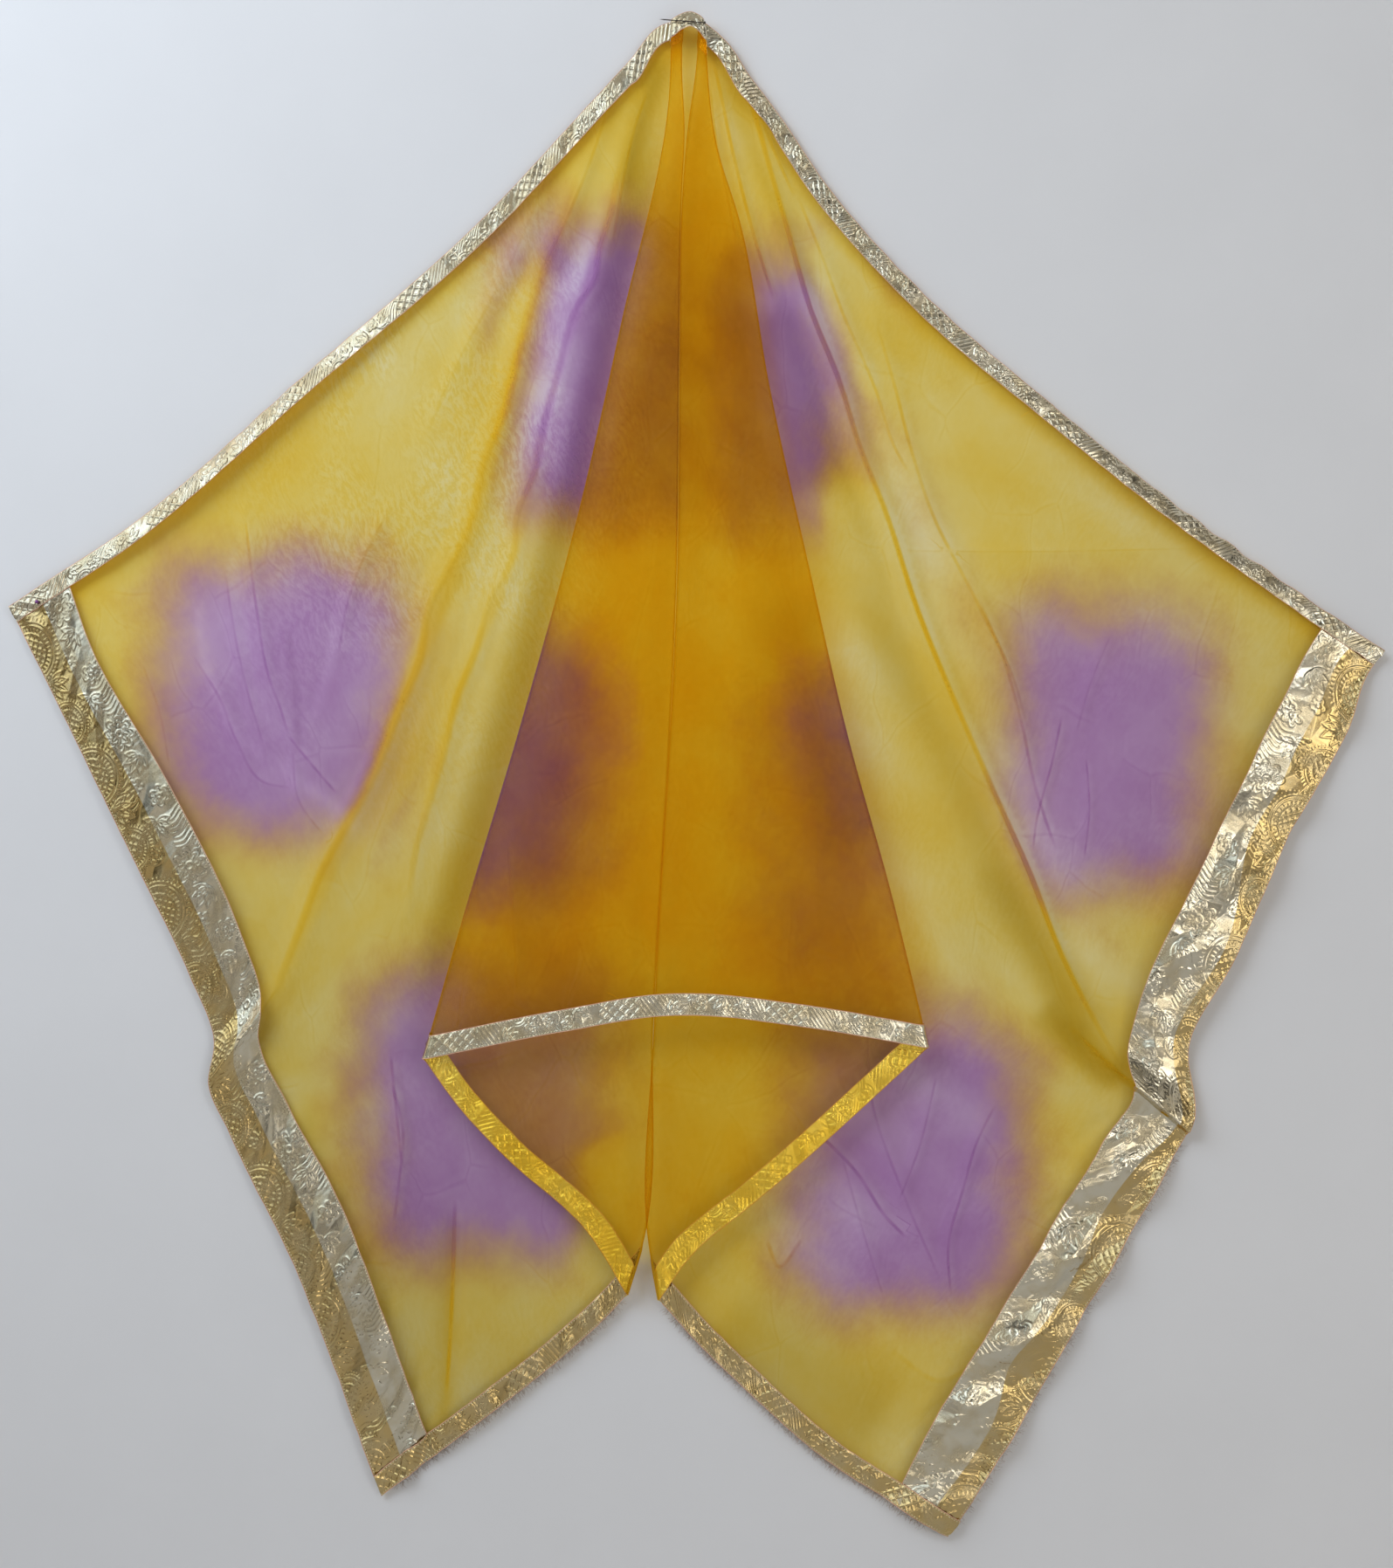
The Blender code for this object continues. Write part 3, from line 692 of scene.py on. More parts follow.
# %% A place on the hanging cloth
def cloth_point(panel, s, t):
    """(x, y, z) of the cloth at flat places of one panel."""
    across, turn_left, turn_right = across_share(panel, s, t)
    down = down_share(panel, across, t)
    x, z = np.moveaxis(patch_point(panel, across, down), -1, 0)
    layer = panel.layer + sum(
        (side_layer - panel.layer) * (1 - turn)
        for side_layer, turn in zip(fold_layers(panel), (turn_left, turn_right)))
    own = folds_rise(panel.layer, x.ravel(), z.ravel()).reshape(x.shape)
    own = own + RIPPLE * waves(s, t, 0.13, count=6, seed=3) * ease((t - 0.03) / 0.2)
    lift = swell_rise(x, z) + own * turn_left * turn_right + crumple_rise(s, t)
    if panel.layer == 0:
        from_fold = np.maximum(flat_s("left_back_fold", t) - s,
                               s - flat_s("right_back_fold", t))
        lean = np.clip(1 - t / LEAN_STRIP, 0, 1) ** 2 * ease(from_fold / LEAN_START)
        lift = lift * (1 - lean)
    return np.stack([x, -(WALL_CLEARANCE + spacing(t) * layer + lift), z], axis=-1)


print("right end, halfway down:",
      cloth_point(PANELS[-1], np.array([2.11]), np.array([0.55])).round(3).tolist())

# %% [markdown]
# ## From numbers to a mesh
# `bmesh.ops.create_grid` makes a plain grid, whose vertices are then moved to the folded
# places, row by row. The flat place of each vertex is kept as a UV map in metres, so weave,
# print and foil follow the cloth round every fold.

# %% Grids
ARC_COLUMNS = 4          # columns on each side of a fold's outermost line


def panel_columns(panel, t, columns):
    """s of a panel's mesh columns at one row: closer together where the fold turns."""
    start, end = flat_s(panel.left, t), flat_s(panel.right, t)
    arc = spacing(t) * math.pi / 4
    turn = [arc * k / ARC_COLUMNS for k in range(ARC_COLUMNS + 1)]
    left = turn if is_fold(panel.left) else [0]
    right = turn if is_fold(panel.right) else [0]
    inner = np.linspace(start + left[-1], end - right[-1], columns + 2)[1:-1]
    return np.concatenate([start + np.array(left), inner, end - np.array(right[::-1])])


def grid_rows(panels, marks, columns_of):
    """Points, s, t and layer of a strip of the cloth, one row of the mesh after another."""
    parts = []
    for number, panel in enumerate(panels):
        s = np.array([panel_columns(panel, t, columns_of(panel))[min(number, 1):]
                      for t in marks])
        t = np.repeat(np.array(marks)[:, None], s.shape[1], axis=1)
        layer = np.full_like(s, panel.layer)
        parts.append((cloth_point(panel, s, t), s, t, layer))
    return [np.concatenate(rows, axis=1) for rows in zip(*parts)]


def front_normals(points):
    """Unit normals on the printed side of the cloth."""
    by_row, by_column = np.gradient(points, axis=0), np.gradient(points, axis=1)
    normal = np.cross(by_row, by_column)
    return normal / np.linalg.norm(normal, axis=-1, keepdims=True)


print("columns of the front panel:", len(panel_columns(PANELS[3], 0.5, PANELS[3].columns)))


# %% A sheet through a grid
def grid_piece(name, points, flat, values):
    """An open sheet through a grid of points, with its flat map and its attributes."""
    rows, columns = points.shape[:2]
    mesh = grid_mesh(name, columns - 1, rows - 1, 0.5)
    mesh.vertices.foreach_set("co", points[::-1].reshape(-1))
    corner = np.empty(len(mesh.loops), dtype=np.int32)
    mesh.loops.foreach_get("vertex_index", corner)
    layer = mesh.uv_layers.new(name="flat")
    layer.data.foreach_set("uv", flat[::-1].reshape(-1, 2)[corner].ravel())
    for key, value in values.items():
        kind, field = ("FLOAT_VECTOR", "vector") if value.ndim == 3 else ("FLOAT", "value")
        attribute = mesh.attributes.new(key, kind, "POINT")
        attribute.data.foreach_set(field, value[::-1].reshape(-1).astype(np.float32))
    mesh.shade_smooth()
    mesh.update()
    print(name, "faces:", len(mesh.polygons))
    return to_scene(name, mesh)


# %% [markdown]
# ## The dye
# The lilac squares were tied and dipped: a full middle and an edge that bleeds into the
# yellow through a brown ring. Each square is a rounded box on the flat cloth. Its distance
# becomes an attribute, blurred over several centimetres, and the folds then bend it. They
# stand upright where the cloth hangs, so on the flat cloth they lie on the bias.

# %% Lilac squares
# pull_s and pull_t say how the hanging cloth runs there, in x and z, for each flat metre
Square = namedtuple("Square", "s t pull_s pull_t half_x half_z most", defaults=[1])
LEFT, RIGHT = ((0.74, 0.65), (0.44, -0.90)), ((0.81, -0.62), (-0.46, -0.93))
SQUARES = [
    Square(0.244, 0.272, *LEFT, 0.128, 0.156),
    Square(0.752, 0.240, (0.70, 0.72), (0.38, -0.87), 0.095, 0.168),
    Square(1.385, 0.218, (0.59, -0.86), (-0.35, -0.85), 0.072, 0.158),
    Square(1.912, 0.270, *RIGHT, 0.114, 0.160),
    Square(0.282, 0.814, *LEFT, 0.138, 0.160),
    Square(0.806, 0.782, (-0.66, 0.78), (-0.50, -0.84), 0.085, 0.150),
    Square(1.300, 0.830, (-0.82, -0.71), (0.44, -0.92), 0.085, 0.185, 0.68),
    Square(1.899, 0.782, *RIGHT, 0.122, 0.168),
]
BLUR = 0.125
ROUNDING = 0.065
DRIFT = 0.008            # how far the edge of the dye wanders


def dye(s, t):
    """How much lilac each flat place took: 0 is yellow, 1 is lilac."""
    drift = DRIFT * waves(s, t, 0.16, count=6, seed=31)
    amount = np.zeros_like(s)
    for square in SQUARES:
        off_s, off_t = s - square.s, t - square.t
        a = np.abs(square.pull_s[0] * off_s + square.pull_t[0] * off_t)
        b = np.abs(square.pull_s[1] * off_s + square.pull_t[1] * off_t)
        a, b = a - square.half_x + ROUNDING, b - square.half_z + ROUNDING
        outside = np.hypot(np.clip(a, 0, None), np.clip(b, 0, None)) - ROUNDING
        outside = outside + np.minimum(np.maximum(a, b), 0) + drift
        amount = np.maximum(amount, square.most * np.clip(0.5 - outside / BLUR, 0, 1))
    return amount


print("lilac in the left square:", dye(np.array([0.244]), np.array([0.272])))

# %% [markdown]
# ## Painted shade and thicker dye
# Organza that is seen at a slant, stretched, doubled or in the shadow of the layer before it
# looks deeper or paler than its dye. Soft bands along drawn lines, and the slope of each
# face, are kept as attributes: one thickens the dye, and one holds painted shade, which
# paints light where it is negative.

# %% Pinches
PINCH_REACH = 0.015      # a pinch is recorded this far to each side
PINCH_FADE = 0.006


def pinch_values(x, z, layer, group):
    """Distance from the nearest pinch line of a group, its strength and its half width."""
    value = np.zeros((x.size, 3))
    x, z, layer = x.ravel(), z.ravel(), layer.ravel()
    best = np.full(x.size, PINCH_REACH)
    pinches = [row for row in FOLDS if row.group == group and row.depth > 0]
    for fold, here, away, passed in near_each(pinches, x, z, layer, PINCH_REACH):
        closer = np.abs(away) < best[here]
        here, away, passed = here[closer], away[closer], passed[closer]
        broken = 0.75 + 0.25 * np.sin(passed * 23 + fold.places[0][0] * 40)
        strength = fold.depth * broken * fade(passed, 0.1)
        best[here] = np.abs(away)
        value[here, 0] = away
        value[here, 1] = strength * ease((PINCH_REACH - np.abs(away)) / PINCH_FADE)
        value[here, 2] = fold.thin
    return value


print("pinches:", sum(row.depth > 0 for row in FOLDS))


# %% Soft bands
Band = namedtuple("Band", "layer places width thicker darker stain")


def band(width, thicker, darker, stain, *route, layer=0):
    """A soft band: width to each side and route in mm; more dye, painted shade, how much lilac."""
    return Band(layer, mm(*route), width / 1000, thicker, darker, stain)


BANDS = [
    # painted shadow of the pleat's left edge, and paler cloth with painted light beside it
    band(30, 0.45, 1.05, 0, -34, -87, -96, -345, -141, -552, -208, -802, -279, -1039,
        -318, -1170),
    band(30, -0.38, -0.1, 0, -120, -330, -168, -552, -243, -802, -310, -1039),
    # along the two long ridges of the left flap: deeper dye and painted light
    band(13, 0.8, -0.3, 0, -121, -154, -196, -392, -245, -572, -301, -725, -385, -914,
        -486, -1155),
    band(9, 0.6, -0.3, 0, -59, -122, -101, -258, -161, -450, -200, -620, -261, -771, -310, -951),
    band(20, -0.34, -0.1, 0, -95, -180, -150, -380, -205, -540, -270, -740),
    # the olive trough of the right flap: deeper dye and painted shade
    band(36, 0.3, 0.4, 0, 195, -605, 245, -738, 303, -842, 357, -966, 411, -1061, 469, -1194),
    band(36, 0.2, 0.45, 0, 330, -950, 400, -1060, 469, -1180),
    # no lilac on the far side of its sharp ridge
    band(45, 0, 0, -0.85, 160, -480, 230, -690, 315, -890, 400, -1080),
    band(50, -0.1, 0, -0.6, 145, -235, 200, -330, 240, -440),
    # painted shade on the deep lower edge, and painted light right of the ridge, where a little
    # lilac bled
    band(100, 0.25, 0.5, 0, 30, -1470, 120, -1535, 240, -1600),
    band(36, -0.16, -0.1, 0, 150, -300, 216, -470, 290, -680, 375, -880, 465, -1070, 500, -1160),
    band(60, 0, 0, 0.2, 190, -360, 250, -520, 330, -700, 405, -880, 480, -1040, 500, -1130),
    # the long ridge of the left flap stays yellow beside its square
    band(34, 0, 0, -0.95, -228, -600, -284, -725, -339, -863, -397, -966, -435, -1050),
    band(30, 0, 0, -0.5, -160, -230, -205, -380, -255, -560, -290, -660),
    # pale stretched cloth with painted light beside the wrinkles of the left square, and painted
    # shade in one wrinkle
    band(12, -0.22, -0.2, 0, -520, -590, -508, -680, -492, -760, -470, -820),
    band(10, -0.2, -0.2, 0, -560, -650, -545, -740, -520, -800, -475, -850),
    band(12, -0.22, -0.2, 0, -470, -840, -440, -870, -405, -890, -370, -930),
    band(12, -0.2, -0.2, 0, -375, -620, -395, -680, -410, -750, -430, -810),
    band(8, 0.22, 0.3, 0, -455, -690, -445, -760, -440, -840),
    # the pale stripe of the upper left square: thinner dye and painted light
    band(40, -0.22, -0.4, 0, -150, -270, -165, -400, -180, -520),
    # the lilac behind the loose corner of the pleat fades early
    *[band(70, 0, 0, -0.7, -110, -1270, -85, -1340, -75, -1440, layer=k) for k in (0, 1)],
    # the upper right square is gathered close: deeper dye and painted shade; paler below with
    # painted light
    band(50, 0.5, 0.5, 0, 95, -310, 118, -380, 135, -460, 155, -550),
    band(45, -0.2, -0.1, 0, 150, -640, 205, -800, 270, -1000, 330, -1150),
    # painted shade and deeper dye near the gather
    band(20, 0.35, 0.8, 0, -24, -30, -40, -70, -60, -130, -75, -200),
    band(16, 0.35, 0.35, 0, 34, -40, 62, -110, 100, -210, 150, -330),
    band(22, 0.2, 0.25, 0, 90, -230, 130, -370, 180, -520, 240, -680),
    # the crease of the lower left flap, and the pinch of the right end: deeper dye and painted
    # shade
    band(12, 0.55, 0.15, 0, -265, -1345, -268, -1442, -276, -1574, -285, -1620),
    band(30, 0.6, 0.9, 0, 400, -1120, 450, -1170, 500, -1215),
    # folds of the layers behind show through the middle panel as deeper dye and painted shade
    band(8, 0.1, 0.25, 0, -10, -200, -11, -400, -10, -620, layer=2),
    band(110, 0.35, 0.3, 0, -20, -150, -25, -350, -30, -580, layer=2),
    band(80, 0.3, 0.5, 0, 120, -640, 170, -800, 200, -960, layer=2),
    band(22, -0.12, -0.1, 0, 30, -150, 45, -400, 50, -700, 48, -900, layer=2),
]
print("soft bands:", len(BANDS))


# %% Shade of each vertex
KEY_SIDE = (0.80, -0.60)  # x and z of the way in which the lamp's light travels, for painted shade


def soft_values(x, z, layer):
    """Extra dye, painted shade and bled lilac of each vertex from the soft bands."""
    x, z, layer = x.ravel(), z.ravel(), layer.ravel()
    thicker, stain = np.zeros_like(x), np.zeros_like(x)
    # painted shade: the rear layer dims toward the bottom left
    darker = 0.45 * ease((-z - 0.6) / 1.0) * ease(0.3 - x / 0.5) * (layer == 0)
    for band, here, away, passed in near_each(BANDS, x, z, layer):
        share = ease(1 - np.abs(away) / band.width) * fade(passed, 0.15)
        thicker[here] += band.thicker * share
        darker[here] += band.darker * share
        stain[here] += band.stain * share
    return thicker, darker, stain


def slope_values(points):
    """Tilted cloth is crossed at a slant; faces turned from the key lamp get painted shade."""
    normal = front_normals(points)
    facing = np.abs(normal[..., 1])
    slanted = np.clip(1 / np.clip(facing, 0.4, 1) - 1, 0, 0.8)
    away = normal[..., 0] * KEY_SIDE[0] + normal[..., 2] * KEY_SIDE[1]
    return slanted, np.clip(away * np.sign(-normal[..., 1]), -0.5, 0.8)


print("the light travels along x, z:", KEY_SIDE)

# %% [markdown]
# ## The cloth
# One open sheet, because organza is a tenth of a millimetre thick and light must cross each
# layer once. It is finest where the folds turn.

# %% Cloth
CLOTH_ROWS = 192
UNDER_RIBBON = 0.0010    # the cloth sinks this far behind the ribbons sewn on it
SEWN = 0.002             # but not in the last strip beside a ribbon's inner edge
NAP_PLACE, NAP_REACH = (-0.28, -0.50), 0.24   # where the cloth was brushed most
NAP_LEAST, NAP_IN_FRONT = 0.22, 0.06           # far from there, and on the front layers
SLANT_WEIGHT, SHADE_WEIGHT = 1.1, 0.9

marks = np.linspace(0, CLOTH_WIDTH, CLOTH_ROWS + 1)
points, s, t, layer = grid_rows(PANELS, marks, lambda panel: panel.columns)
from_end = np.minimum(s, CLOTH_LENGTH - s)
from_edge = np.minimum(t, CLOTH_WIDTH - t)
covered = np.maximum(from_end < WIDE_RIBBON - SEWN, from_edge < NARROW_RIBBON - SEWN)
points = points - front_normals(points) * (UNDER_RIBBON * covered)[..., None]
x, z = points[..., 0], points[..., 2]
thicker, darker, stain = [value.reshape(s.shape) for value in soft_values(x, z, layer)]
slanted, away_from_lamp = slope_values(points)
broad = 0.12 * waves(s, t, 0.30, count=6, seed=41) + 0.10 * waves(s, t, 0.11, count=6, seed=42)
from_nap = np.hypot(x - NAP_PLACE[0], (z - NAP_PLACE[1]) * 0.7)
values = {
    "dye": np.clip(np.maximum(dye(s, t), stain) + np.minimum(stain, 0), 0, 1),
    "thicker": thicker + SLANT_WEIGHT * slanted + broad,
    # painted shade from the bands and the bottom left, and on faces turned from the key lamp
    "darker": darker + SHADE_WEIGHT * away_from_lamp,
    "brushed": np.where(layer == 0, NAP_LEAST + (1 - NAP_LEAST) * ease(1.3 - from_nap / NAP_REACH),
                        NAP_IN_FRONT)}
for group in range(GROUPS):
    values[f"pinch_{group}"] = pinch_values(x, z, layer, group).reshape(*s.shape, 3)
cloth = grid_piece("printed_organza", points, np.stack([s, t], -1), values)
print("highest lilac share:", round(float(values["dye"].max()), 2))

# %% [markdown]
# ## Sheer dyed organza
# Light crosses the organza twice, on its way to the wall and back, so each pass takes out
# the root of what the eye sees missing. Two dyes mix by their densities: raising a colour to
# a power is a thicker layer of the same dye. A small share of the light meets yarn instead,
# and scatters back or through. Pinches are the same cloth lying double, so they raise the
# power, and so does a band along the top edge. A grey pass colour carries the painted shade
# of the vertices, and paints light where that shade is negative.

# %% How dense the organza is
# how much each structure adds to the density
BLOTCHES, WEAVE, FACETS, CREASES, NAP = 0.70, 0.10, 0.14, 0.20, 0.70
PLAIN = 0.51             # density without any of them
STRAY = (0.022, 0.022, 0.0)          # how far creases and nap stray from straight

organza = new_material("Sheer dyed organza")
n = Nodes(organza)
flat = n.first("UVMap", uv_map="flat")
blotches = n.noise(flat, 22.0, 6.0, 0.66)
bent = n.add("TexNoise", {0: flat, 2: 16.0, 3: 1.0}, noise_dimensions="2D").outputs["Color"]
bent = n.first("VectorMath", {0: bent, 1: STRAY, 2: flat}, operation="MULTIPLY_ADD")
nap = n.step(n.noise(bent, 1.0, 3.0, 0.70, (190, 85, 1)), 0.34, 0.66)
napped = n.times(n.step(n.noise(flat, 7.0), 0.36, 0.56, 0.20, 1.0), n.attribute("brushed"))
weave = n.plus(n.noise(flat, 1.0, stretch=(900, 30, 1)), n.noise(flat, 1.0, stretch=(30, 900, 1)))
# flat facets between fine creases, as in a crisp cloth that has been crushed
cells = n.first("Mapping", {0: bent, 3: (13.0, 8.0, 1.0)})
facets = n.add("TexVoronoi", {0: cells, 2: 1.0}, voronoi_dimensions="2D").outputs["Color"]
from_crease = n.first("TexVoronoi", {0: cells, 2: 1.0}, voronoi_dimensions="2D",
                      feature="DISTANCE_TO_EDGE")
crease = n.less(n.step(from_crease, 0.022, 0.006), n.step(from_crease, 0.10, 0.03, 0, 0.5))
creased = n.step(n.noise(flat, 9.0, 1.0), 0.48, 0.62)

density = n.times(blotches, BLOTCHES, plus=PLAIN)
density = n.times(weave, WEAVE, plus=density)
density = n.times(n.less(n.split(facets)[0], 0.5), FACETS, plus=density)
density = n.times(n.times(crease, creased), CREASES, plus=density)
density = n.plus(density, n.attribute("thicker"))
density = n.times(n.times(napped, n.less(nap, 0.5)), NAP, plus=density)
print("organza nodes so far:", len(organza.node_tree.nodes))

# %% Pinches, the top band, painted shade, and light through the dye
YELLOW_PASS = (0.985, 0.878, 0.430, 1)
LILAC_PASS = (0.748, 0.562, 0.768, 1)
SHADE_PASS = (0.780, 0.775, 0.740, 1)
YELLOW_YARN = (0.95, 0.56, 0.008, 1)
LILAC_YARN = (0.62, 0.38, 0.72, 1)
YARN_GLOSS = (1.0, 0.85, 0.35, 1)
YARN_SHARE, GLOSS_SHARE = 0.10, 0.08
TOP_BAND_DENSITY = 0.55               # extra dye density along the top edge, fading out 22 mm below the top ribbon
THINNEST = 0.0005        # half width of the finest pinch

pinches_and_painted_highlight = 0.0
for group in range(GROUPS):
    away, strength, half = n.split(n.attribute(f"pinch_{group}", "Vector"))
    thin = n.calc("MAXIMUM", half, THINNEST)
    line = n.step(n.calc("DIVIDE", n.calc("ABSOLUTE", away), thin), 1.3, 0.2)
    # painted highlight: the dye is thinned on the lit side of a pinch
    lit_side = n.calc("DIVIDE", away, thin)
    painted_highlight = n.times(n.step(lit_side, 0.6, 1.6), n.step(lit_side, 6.0, 2.0, 0, 0.30))
    pinches_and_painted_highlight = n.times(n.less(line, painted_highlight), strength, plus=pinches_and_painted_highlight)
top_band = n.step(n.split(flat)[1], NARROW_RIBBON + 0.022, NARROW_RIBBON + 0.004, 0.0, TOP_BAND_DENSITY)
density = n.calc("MAXIMUM", n.plus(density, n.plus(pinches_and_painted_highlight, top_band)), 0.3)


def passed_through(colour, power):
    return n.first("Gamma", {0: colour, 1: power})


bleed = n.times(n.less(blotches, 0.5), 0.5, plus=n.attribute("dye"))
yellow_share, lilac_share = n.step(bleed, 0.22, 0.90, 1.0, 0.0), n.step(bleed, 0.02, 0.92)
# painted shade of the vertices dims the light that passes, and brightens it where negative
painted_dimming = n.calc("MAXIMUM", n.attribute("darker"), -0.2)
through = n.mix(1.0, passed_through(YELLOW_PASS, n.times(yellow_share, density)),
                passed_through(LILAC_PASS, n.times(lilac_share, density)), "MULTIPLY")
through = n.mix(1.0, through, passed_through(SHADE_PASS, painted_dimming), "MULTIPLY")
bump = n.first("Bump", {"Strength": 0.35, "Distance": 0.0006,
                        "Height": n.times(weave, 0.3, plus=pinches_and_painted_highlight)})
yarn = {"Color": n.mix(lilac_share, YELLOW_YARN, LILAC_YARN), "Normal": bump}
threads = n.first("MixShader", {0: 0.5, 1: n.first("BsdfDiffuse", yarn),
                                2: n.first("BsdfTranslucent", yarn)})
gloss = n.first("BsdfGlossy", {"Color": YARN_GLOSS, "Roughness": 0.38, "Normal": bump})
threads = n.first("MixShader", {0: GLOSS_SHARE, 1: threads, 2: gloss})
clear = n.first("BsdfTransparent", {"Color": through})
share = n.calc("MULTIPLY", density, YARN_SHARE, clamp=True)
n.finish(n.first("MixShader", {0: share, 1: clear, 2: threads}))
cloth.data.materials.append(organza)
print("organza nodes:", len(organza.node_tree.nodes))

# %% [markdown]
# ## The embossed foil
# The ribbons are two-tone foil, gold and silver, pressed by an engraved roller. The roller's
# figures are stock ones: daisies, fans filled with a lattice, leaf sprays, ribs. Each is
# drawn as raised lines in millimetres from the ribbon's end and outer edge, and then moves
# the mesh, so that the foil really catches the light.

# %% Daisy and lattice
LINE = 0.95              # half width of a pressed line, mm


def pressed(distance, half=LINE):
    return np.exp(-(distance / half) ** 2)


def from_nearest(share, pitch):
    """Distance from the nearest of a row of lines, at a share of their pitch."""
    return np.abs((share + 0.5) % 1 - 0.5) * pitch


def daisy(dx, dy, radius, petals, turn):
    """Rounded petals in double outline round a boss."""
    r, angle = np.hypot(dx, dy), np.arctan2(dy, dx) + turn
    lobe = np.abs(np.cos(petals * angle / 2))
    edge = radius * (0.45 + 0.55 * lobe ** 0.7)
    boss = 0.2 * radius
    petal = pressed(r - 0.72 * edge, 0.6 * LINE) * (r > boss * 1.6) * (lobe > 0.35)
    rib = pressed(np.sin(petals * angle) * r / petals, 0.5 * LINE)
    rib = rib * (r > boss * 1.6) * (r < 0.55 * edge)
    lines = pressed(r - edge), pressed(r - boss), 0.6 * petal, 0.6 * rib
    return np.maximum.reduce(lines), r < radius * 1.08


def lattice(dx, dy, pitch):
    """Two sets of slanted lines."""
    offsets = [from_nearest(slant / pitch / 1.414, pitch) for slant in (dx + dy, dx - dy)]
    return pressed(np.minimum(*offsets))


print("height at a petal's tip:", daisy(np.array([20.0]), np.array([0.0]), 20, 8, 0)[0])


# %% Fan and scallop
def fan(dx, dy, radius):
    """Rings round a lattice, with short ticks outside them."""
    r, angle = np.hypot(dx, dy), np.arctan2(dy, dx)
    rings = [pressed(r - share * radius) for share in (1, 0.87, 0.62)]
    beads = pressed((np.abs((angle * 16 / math.pi) % 1 - 0.5)) * 5.0, 0.9)
    beads = 0.8 * beads * (np.abs(r - 0.745 * radius) < 0.06 * radius)
    ticks = pressed(np.sin(angle * 22) * r / 22, 0.55 * LINE)
    ticks = ticks * (r > 1.04 * radius) * (r < 1.16 * radius)
    middle = lattice(dx, dy, 6.5) * (r < 0.62 * radius)
    return np.maximum.reduce([*rings, middle, beads, ticks]), r < 1.18 * radius


def scallop(dx, dy, radius):
    """A double arc."""
    r = np.hypot(dx, dy)
    return np.maximum(pressed(r - radius), pressed(r - radius + 3)), r < radius + 1


print("height at a fan's rim:", fan(np.array([33.0]), np.array([0.0]), 33)[0])


# %% Leaves and ribs
def leaf(dx, dy, degrees, length, half):
    """A pointed leaf with a midrib, from its stalk outwards."""
    c, d = math.cos(math.radians(degrees)), math.sin(math.radians(degrees))
    a, b = dx * c + dy * d, dy * c - dx * d
    share = np.clip(a / length, 0, 1)
    edge = half * np.sin(math.pi * share ** 0.85)
    inside = (a > -0.5) & (a < length + 0.5)
    height = pressed(np.abs(b) - edge) * inside
    rib = pressed(b, 0.55 * LINE) * (share > 0.08) * (share < 0.85)
    return np.maximum(height, 0.7 * rib), inside & (np.abs(b) < edge + 1.2)


def spray(dx, dy, degrees, length, leaves, spread=125.0):
    """Leaves that open like a hand."""
    height, inside = np.zeros_like(dx), np.zeros(dx.shape, dtype=bool)
    for k in range(leaves):
        turn = degrees + spread * (k / (leaves - 1) - 0.5)
        size = length * (1 - 0.28 * abs(2 * k / (leaves - 1) - 1))
        one, where = leaf(dx, dy, turn, size, size * 0.17)
        height, inside = np.maximum(height, one), inside | where
    return height, inside


def ribs(p, q, pitch, wave):
    """Parallel wavy lines."""
    return pressed(from_nearest((p + wave * np.sin(q / 5.5)) / pitch, pitch), 0.8 * LINE)


print("height on a rib:", ribs(np.array([0.0]), np.array([0.0]), 5.5, 3.0))

# %% [markdown]
# ## Two rollers
# Each roller repeats its row of figures along the ribbon. An earlier figure in a row keeps
# its ground, and the gaps are filled with ribs. Before a figure's own sizes stand its places
# along the ribbon and across it, in millimetres.

# %% Patterns of the rollers
WIDE_REPEAT, NARROW_REPEAT = 168.0, 187.0
WIDE_FIGURES = [
    (daisy, 34, 54, 20, 8), (fan, 58, -1, 33), (spray, 66, 62, -60, 25, 5),
    (spray, 100, 6, 40, 27, 5), (daisy, 118, 60, 12, 6), (fan, 150, 2, 24),
    (spray, 140, 44, -25, 24, 7, 200), (spray, 12, 28, 200, 20, 4, 90), (daisy, 94, 40, 9, 5)]
NARROW_FIGURES = [
    (spray, 80, 3, 35, 19, 4, 100), (daisy, 112, 14, 8.5, 5, 0.4),
    (spray, 140, 22, 215, 19, 4, 100), (daisy, 152, 9, 7, 3, 0.7),
    (spray, 160, 20, -40, 18, 4, 110), (scallop, 96, 26, 11)]


def lay(height, free, figure):
    """Presses a figure where no earlier one lies."""
    own, inside = figure
    where = free & inside
    height[where] = own[where]
    return free & ~inside


def wide_pattern(p, q):
    """Height (0 to 1) at p mm from the top and q mm from the outer end."""
    height, free = np.zeros_like(p), np.ones(p.shape, dtype=bool)
    draw = np.random.default_rng(8)
    for k in range(-1, int(p.max() / WIDE_REPEAT) + 2):
        start = k * WIDE_REPEAT + draw.uniform(-6, 6)
        for figure, dp, dq, *sizes in WIDE_FIGURES:
            if figure is daisy:
                sizes.append(draw.uniform(0, 1))
            free = lay(height, free, figure(p - start - dp, q - dq, *sizes))
    filler = ribs(p, q, 5.5, 3.0) * (np.sin(p / 31.0) * np.sin(q / 21.0 + 1) > 0.25)
    return np.where(free, 0.7 * filler, height)


